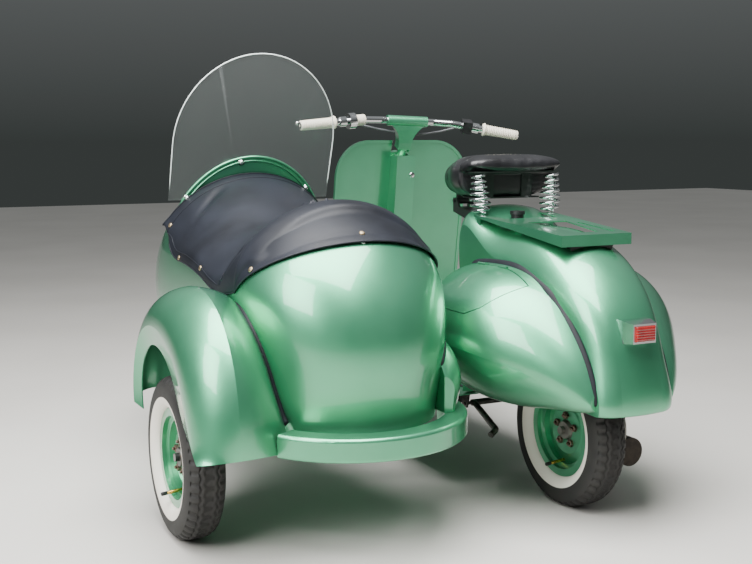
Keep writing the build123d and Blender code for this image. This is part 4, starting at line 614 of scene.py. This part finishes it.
def settle(piece):
    """Replaces a piece's mesh by what its modifiers make of it."""
    graph = bpy.context.evaluated_depsgraph_get()
    mesh = bpy.data.meshes.new_from_object(piece.evaluated_get(graph))
    piece.modifiers.clear()
    piece.data = mesh


CLOTH_THICK_M = 0.0016
if sum(face.normal.z * face.area for face in cover.data.polygons) < 0:
    cover.data.flip_normals()
thick = cover.modifiers.new("thick", "SOLIDIFY")
thick.thickness = CLOTH_THICK_M
thick.offset = -1.0
settle(cover)
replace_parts(cover, "side_cover")


def cover_seats(points):
    """The nearest places on the cover to points in millimetres, each with its normal."""
    found = [cover.closest_point_on_mesh(Vector(point))[1:3] for point in place(points)]
    return [((np.array(spot) - place(np.zeros(3))) * 1000, np.array(normal)) for spot, normal in found]


def on_cover(points, lift):
    """Points moved to the nearest places on the cover, and lifted off it."""
    return np.array([spot + normal * lift for spot, normal in cover_seats(points)])


HEM_LIFT, HEM_HALVES, TAIL_HEM_HALVES = 0.2, (2.2, 1.8), (2.4, 1.8)
border = np.concatenate([grid[COVER_TAIL:, 0], grid[-1, 1:-1], grid[COVER_TAIL:, -1][::-1]])
strand("tonneau_hem", on_cover(border, HEM_LIFT), HEM_HALVES, (0, 0.1, 1), 8, vinyl)
# The seam runs a few columns inside the side hems, a few rows behind the front hem, and just
# in front of the crease.
SEAM_INSET, SEAM_FRONT, SEAM_PAST_CREASE = 4, -6, 6.0
SEAM_LIFT, SEAM_HALVES = 0.3, (1.5, 0.9)
seam_share = (CREASE_Y + SEAM_PAST_CREASE - TAIL_FOOT[0]) / (front_y - TAIL_FOOT[0])
seam_row = COVER_TAIL + int(seam_share * COVER_ALONG)
left, right = grid[seam_row:SEAM_FRONT, SEAM_INSET], grid[seam_row:SEAM_FRONT, -SEAM_INSET - 1]
seam = np.concatenate([left, grid[SEAM_FRONT, SEAM_INSET:-SEAM_INSET], right[::-1],
                       grid[seam_row, SEAM_INSET:-SEAM_INSET][::-1]])
strand("tonneau_seam", on_cover(seam, SEAM_LIFT), SEAM_HALVES, (0, 0.1, 1), 6, vinyl)
strand("tonneau_tail_hem", on_cover(grid[0], HEM_LIFT), TAIL_HEM_HALVES, (0, -0.8, 0.6), 8, vinyl)

# Press studs: domed caps of tarnished brass on the cover, and one bare stud on the body at
# the tail, where the cover isn't fastened.
STUD_CAP = [(-0.5, 0), (-0.5, 6.8), (0.8, 7.0), (2.2, 5.8), (3.2, 3.6), (3.6, 0)]
# Each cap sits at the spot on the cover that is nearest to its place here.
STUD_PLACES = (
    (-841, 720.8, 707.7), (-854, 592.7, 627.8), (-853.9, 402.4, 619.9), (-853, 183, 600), (-838, 67.5, 650),
    (-359, 720.8, 707.7), (-346, 592.7, 627.8), (-346, 402.4, 619.9), (-347, 183, 600), (-362, 67.5, 650),
    (-601, -27.7, 730.2),
)
caps = [(turned(STUD_CAP, seat, normal, 20), True, False) for seat, normal in cover_seats(STUD_PLACES)]
tarnished = finish("tarnished_brass_press_stud", ("#8c7a5c", "#b3a184"), 4, (0.3, 0.5), Metallic=0.9)
build("cover_studs", caps, tarnished, "scooter")
BARE_STUD = [(-3, 0), (-3, 4), (2.5, 4), (3.2, 5.2), (5.2, 5.2), (6.4, 3.4), (6.6, 0)]
BARE_STUD_AT, BARE_STUD_FACES = (-608, -46.5, 708.2), (0, -0.66, 0.75)
build("bare_stud", [(turned(BARE_STUD, BARE_STUD_AT, BARE_STUD_FACES, 20), True, False)],
      chrome, "scooter")

# Saddle: rubber and felt under black vinyl hide, drawn over a steel pan; its tail, over the
# springs, is only a thin pad. A short cloth simulation swells it under pressure.
# y, half width, underside, widest height, top height
SADDLE_ROWS = np.array([
    (238, 60, 862, 866, 870), (242, 112, 857, 868, 882), (256, 144, 855, 870, 890),
    (284, 154, 855, 868, 894), (310, 157, 855, 866, 896), (311, 156, 788, 850, 896),
    (365, 150, 786, 848, 894), (430, 122, 785, 844, 887), (500, 87, 785, 838, 877),
    (548, 62, 786, 832, 864), (568, 40, 794, 826, 850), (573, 16, 806, 824, 838),
], float)
PAD_ROWS, PAD_STEPS, BODY_STEPS, SADDLE_AROUND = 5, 16, 36, 64
SADDLE_SQUARE, SADDLE_FLAT = 0.62, 0.72


def saddle_points():
    """Along: smooth rows from tail to nose. Across: a superellipse whose upper and lower
    halves have their own heights about the widest line."""
    rows = np.concatenate([through(SADDLE_ROWS[:PAD_ROWS], PAD_STEPS),
                           through(SADDLE_ROWS[PAD_ROWS:], BODY_STEPS)])
    t = np.linspace(0, 2 * pi, SADDLE_AROUND, endpoint=False)[None, :]
    y, half, low, middle, top = (rows[:, k][:, None] for k in range(5))
    up = np.where(np.sin(t) > 0, top - middle, middle - low)
    x = half * np.sign(np.cos(t)) * np.abs(np.cos(t)) ** SADDLE_SQUARE
    z = middle + up * np.sign(np.sin(t)) * np.abs(np.sin(t)) ** SADDLE_FLAT
    ring = np.stack([x, y + 0 * x, z], -1)
    ends = [np.repeat(ring[k].mean(0)[None, None], SADDLE_AROUND, 1) for k in (0, -1)]
    return np.concatenate([ends[0], ring, ends[1]])


VOXEL_M, PRESSURE, LAST_FRAME, SWELL_MOST = 0.005, 4.0, 20, 0.005


def point_array(mesh):
    """A mesh's points as rows of an array."""
    values = np.empty(3 * len(mesh.vertices), np.float32)
    mesh.vertices.foreach_get("co", values)
    return values.reshape(-1, 3)


hide = finish("black_vinyl_hide", ("#101012", "#1a1a1d"), 60, (0.3, 0.44), 1.6, 0.14, Coat_Weight=0.15)
saddle = build("saddle_padding", [(saddle_points(), False, True)], hide, "scooter")
remesh = saddle.modifiers.new("even", "REMESH")
remesh.mode = "VOXEL"
remesh.voxel_size = VOXEL_M
remesh.use_smooth_shade = True
settle(saddle)
before = point_array(saddle.data)
puff = saddle.modifiers.new("puff", "CLOTH")
puff.settings.quality = 5
puff.settings.use_pressure = True
puff.settings.uniform_pressure_force = PRESSURE
puff.settings.effector_weights.gravity = 0.0
for step in range(1, LAST_FRAME + 1):
    bpy.context.scene.frame_set(step)
settle(saddle)
bpy.context.scene.frame_set(1)
move = point_array(saddle.data) - before
length = np.linalg.norm(move, axis=1, keepdims=True)
move *= np.minimum(1.0, SWELL_MOST / np.maximum(length, 1e-9))
saddle.data.vertices.foreach_set("co", (before + move).ravel())
fine = saddle.modifiers.new("fine", "SUBSURF")
fine.levels = 1
fine.render_levels = 1
settle(saddle)
saddle.data.polygons.foreach_set("use_smooth", [True] * len(saddle.data.polygons))
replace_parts(saddle, "saddle_cover")

# Saddle springs: two barrel coils of chromed wire, widest below their middle, that stand on
# the rack's arms under the saddle's frame and lean apart upwards.
SPRING_X, SPRING_SPREAD, SPRING_Y, SPRING_LOW_Z, SPRING_TOP_Z = 110.0, 8.0, 265.0, 739.5, 851.0
SPRING_TURNS, SPRING_WIRE_R = 7.0, 3.3
# Share of the height, and the coil's radius there
SPRING_BARREL = [(0, 18), (0.12, 24), (0.28, 26.5), (0.5, 24.5), (0.75, 20.5), (1.0, 17)]
t = np.linspace(0, 1, 280)
barrel = np.interp(t, *zip(*SPRING_BARREL))
turn = 2 * pi * SPRING_TURNS * t
spring_wire = finish("chromed_spring_wire", ("#b9bcbe", "#d6d8d9"), 12, (0.1, 0.25), Metallic=1.0)
coils = []
for side in (-1, 1):
    height = SPRING_LOW_Z + SPRING_WIRE_R + (SPRING_TOP_Z - SPRING_LOW_Z - 2 * SPRING_WIRE_R) * t
    path = np.stack([side * (SPRING_X + SPRING_SPREAD * t) + barrel * np.cos(turn),
                     SPRING_Y + barrel * np.sin(turn), height], -1)
    coils.append((carried(path, SPRING_WIRE_R, SPRING_WIRE_R, (0, 0, 1), 10), False, True))
springs = build("saddle_spring_coils", coils, spring_wire, "scooter")
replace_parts(springs, "saddle_springs")

# Hand grips: cream moulded rubber with raised rings, pushed over the bar's ends; each has a
# flange at its inner end and a rounded cap at its outer one.
BAR_HALF, BAR_BEND = 372.0, 150.0
# The bar's leg starts behind and above the pivot at its bend, and sweeps back and down.
BEND_BACK, BAR_BACK, BEND_UP, BAR_DROP = 14.0, 61.0, 3.0, 11.0
GRIP_LENGTH, GRIP_R, GRIP_TAPER = 118.0, 15.8, 1.2
RING_PITCH, RING_HIGH, RING_SQUARE = 6.0, 1.0, 1.4
RINGS_FROM, RINGS_SHORT = 9.0, 8.0
CAP_OUT, CAP_ROUND, CAP_R = 3.0, 5.0, 15.5


def bar_point(s):
    """A point of the straight-ahead bar's outer leg, at a signed distance from its middle."""
    share = (abs(s) - BAR_BEND) / (BAR_HALF - BAR_BEND)
    return (HEAD_PIVOT + np.array([s, 0, 0]) - STEER_FRONT * (BEND_BACK + (BAR_BACK - BEND_BACK) * share)
            + STEER_UP * (BEND_UP - (BAR_DROP + BEND_UP) * share))


along = np.linspace(RINGS_FROM, GRIP_LENGTH - RINGS_SHORT, 150)
waves = np.clip(RING_SQUARE * np.cos(2 * pi * along / RING_PITCH), -1, 1)
rings = GRIP_R + RING_HIGH * waves - GRIP_TAPER * along / GRIP_LENGTH
rounded = [(GRIP_LENGTH + CAP_OUT - CAP_ROUND * (1 - sin(a)), CAP_R * cos(a))
           for a in np.linspace(0, pi / 2, 8)]
GRIP = [(0, 0), (0, 19), (2, 20.5), (6, 20.5), (8, 18), *zip(along, rings), *rounded]
grips = []
for side in (-1, 1):
    start, end = bar_point(side * (BAR_HALF - GRIP_LENGTH)), bar_point(side * BAR_HALF)
    grips.append((steered(turned(GRIP, start, end - start, 40)), True, False))
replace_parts(build("ribbed_grips", grips, cream_rubber, "steering"), "grips")

# Steering lock: a chromed barrel let into the column cover from behind. Its keyhole is painted
# shade: a small black disc on the middle of the barrel's face stands in for the shaded slot.
LOCK_AT, LOCK_FACES = np.array([24.0, 919.8, 827.2]), np.array([0.0, -0.99, -0.13])
LOCK = [(-4, 0), (-4, 9), (1.2, 9), (2.4, 7.6), (2.4, 0)]
build("steering_lock", [(turned(LOCK, LOCK_AT, LOCK_FACES, 28), True, False)], chrome, "scooter")
# The black disc is painted shade for the keyhole's recess.
KEYHOLE_SHADE_DISC = [(2.0, 0), (2.0, 2.6), (2.9, 2.6), (2.9, 0)]
build("steering_keyhole_painted_shade", [(turned(KEYHOLE_SHADE_DISC, LOCK_AT, LOCK_FACES, 12), True, False)],
      moulded_black, "scooter")

# Headlamp: a pressed chrome bezel holds a domed glass with moulded flutes. Rings of points
# run out from the middle; a cosine across the glass makes the flutes.
LAMP_CENTRE = np.array([0.0, 1301.0, 435.0])
LAMP_DIP = radians(6)
LAMP_FORWARD = np.array([0.0, cos(LAMP_DIP), -sin(LAMP_DIP)])
LAMP_UP = np.array([0.0, sin(LAMP_DIP), cos(LAMP_DIP)])
BEZEL = [(24, 44.6), (24, 53), (27, 54.4), (31, 53.6), (33, 50), (33.4, 46.5), (31.6, 44.6), (24, 44.6)]
build("headlamp_bezel", [(steered(turned(BEZEL, LAMP_CENTRE, LAMP_FORWARD, 64)), True, False)],
      chrome, "steering")
GLASS_R, GLASS_AT, GLASS_DOME, GLASS_THICK = 44.0, 27.0, 5.0, 2.0
FLUTE_PITCH, FLUTE_DEEP = 6.0, 0.5
r = np.concatenate([np.linspace(0, GLASS_R, 40), [GLASS_R, 0]])[None, :]
turn = np.linspace(0, 2 * pi, 120, endpoint=False)[:, None]
across, up = r * np.cos(turn), r * np.sin(turn)
flutes = FLUTE_DEEP * np.cos(2 * pi * across / FLUTE_PITCH) * (r < GLASS_R)
bulge = GLASS_AT + GLASS_DOME * (1 - (r / GLASS_R) ** 2) + flutes
bulge[:, -2:] = GLASS_AT - GLASS_THICK
domed = (LAMP_CENTRE + across[..., None] * SCREEN_ACROSS + up[..., None] * LAMP_UP
         + bulge[..., None] * LAMP_FORWARD)
fluted = finish("pressed_fluted_glass", ("#c6cdcf", "#dfe5e6"), 30, (0.05, 0.12), Coat_Weight=1.0, IOR=1.5)
glass = build("headlamp_glass", [(steered(domed), True, False)], fluted, "steering")
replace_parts(glass, "headlamp_lens")

# Tail lamp: a red acrylic lens, moulded with fine level ribs and rounded off round its face;
# it stands in the chrome housing.
RED_HALF_X, RED_HALF_Z, RED_AT_Y, RED_AT_Z, RED_DEEP = 28.2, 18.2, -286.5, 491.0, 13.0
RED_SIDE, RED_ROUND, RIB_PITCH, RIB_HIGH = 0.55, 0.12, 6.0, 0.7
n = np.linspace(-1, 1, 61)
across, up = np.meshgrid(RED_HALF_X * n, RED_HALF_Z * n, indexing="ij")
inward = 1 - np.maximum(np.abs(across) / RED_HALF_X, np.abs(up) / RED_HALF_Z)
edge = np.clip(inward, 0, RED_ROUND) / RED_ROUND
ribs = RIB_HIGH * np.cos(2 * pi * up / RIB_PITCH) * edge
face_y = RED_AT_Y - RED_DEEP * (RED_SIDE + (1 - RED_SIDE) * np.sqrt(edge)) - ribs
face = np.stack([across, face_y, RED_AT_Z + up], -1)
back = np.stack([across, np.full_like(across, RED_AT_Y), RED_AT_Z + up], -1)
red = finish("ribbed_red_acrylic", ("#7d0b09", "#96110d"), 14, (0.08, 0.18), Coat_Weight=0.8, IOR=1.49)
edges = ((face[0], back[0]), (back[-1], face[-1]), (back[:, 0], face[:, 0]), (face[:, -1], back[:, -1]))
patches = [(part, False, False) for part in (face, back, *(np.stack(pair) for pair in edges))]
lens = build("tail_lamp_glass", patches, red, "scooter")
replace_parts(lens, "tail_lamp_lens")

# Floor strips: six strips of the same dark rubber as the edging, with rounded tops, pinned
# along the floor board, three on each side.
STRIP_X, STRIP_Y0, STRIP_Y1, STRIP_Z = (90.0, 130.0, 170.0), 380.0, 780.0, 240.5
STRIP_HALVES, STRIP_STEPS = (8.0, 4.5), 80
strips = []
for x in (*STRIP_X, *(-value for value in STRIP_X)):
    path = np.stack([np.full(STRIP_STEPS, x), np.linspace(STRIP_Y0, STRIP_Y1, STRIP_STEPS),
                     np.full(STRIP_STEPS, STRIP_Z)], -1)
    strips.append((carried(path, *STRIP_HALVES, (0, 0, 1), 16), False, True))
build("floor_strips", strips, edging, "scooter")
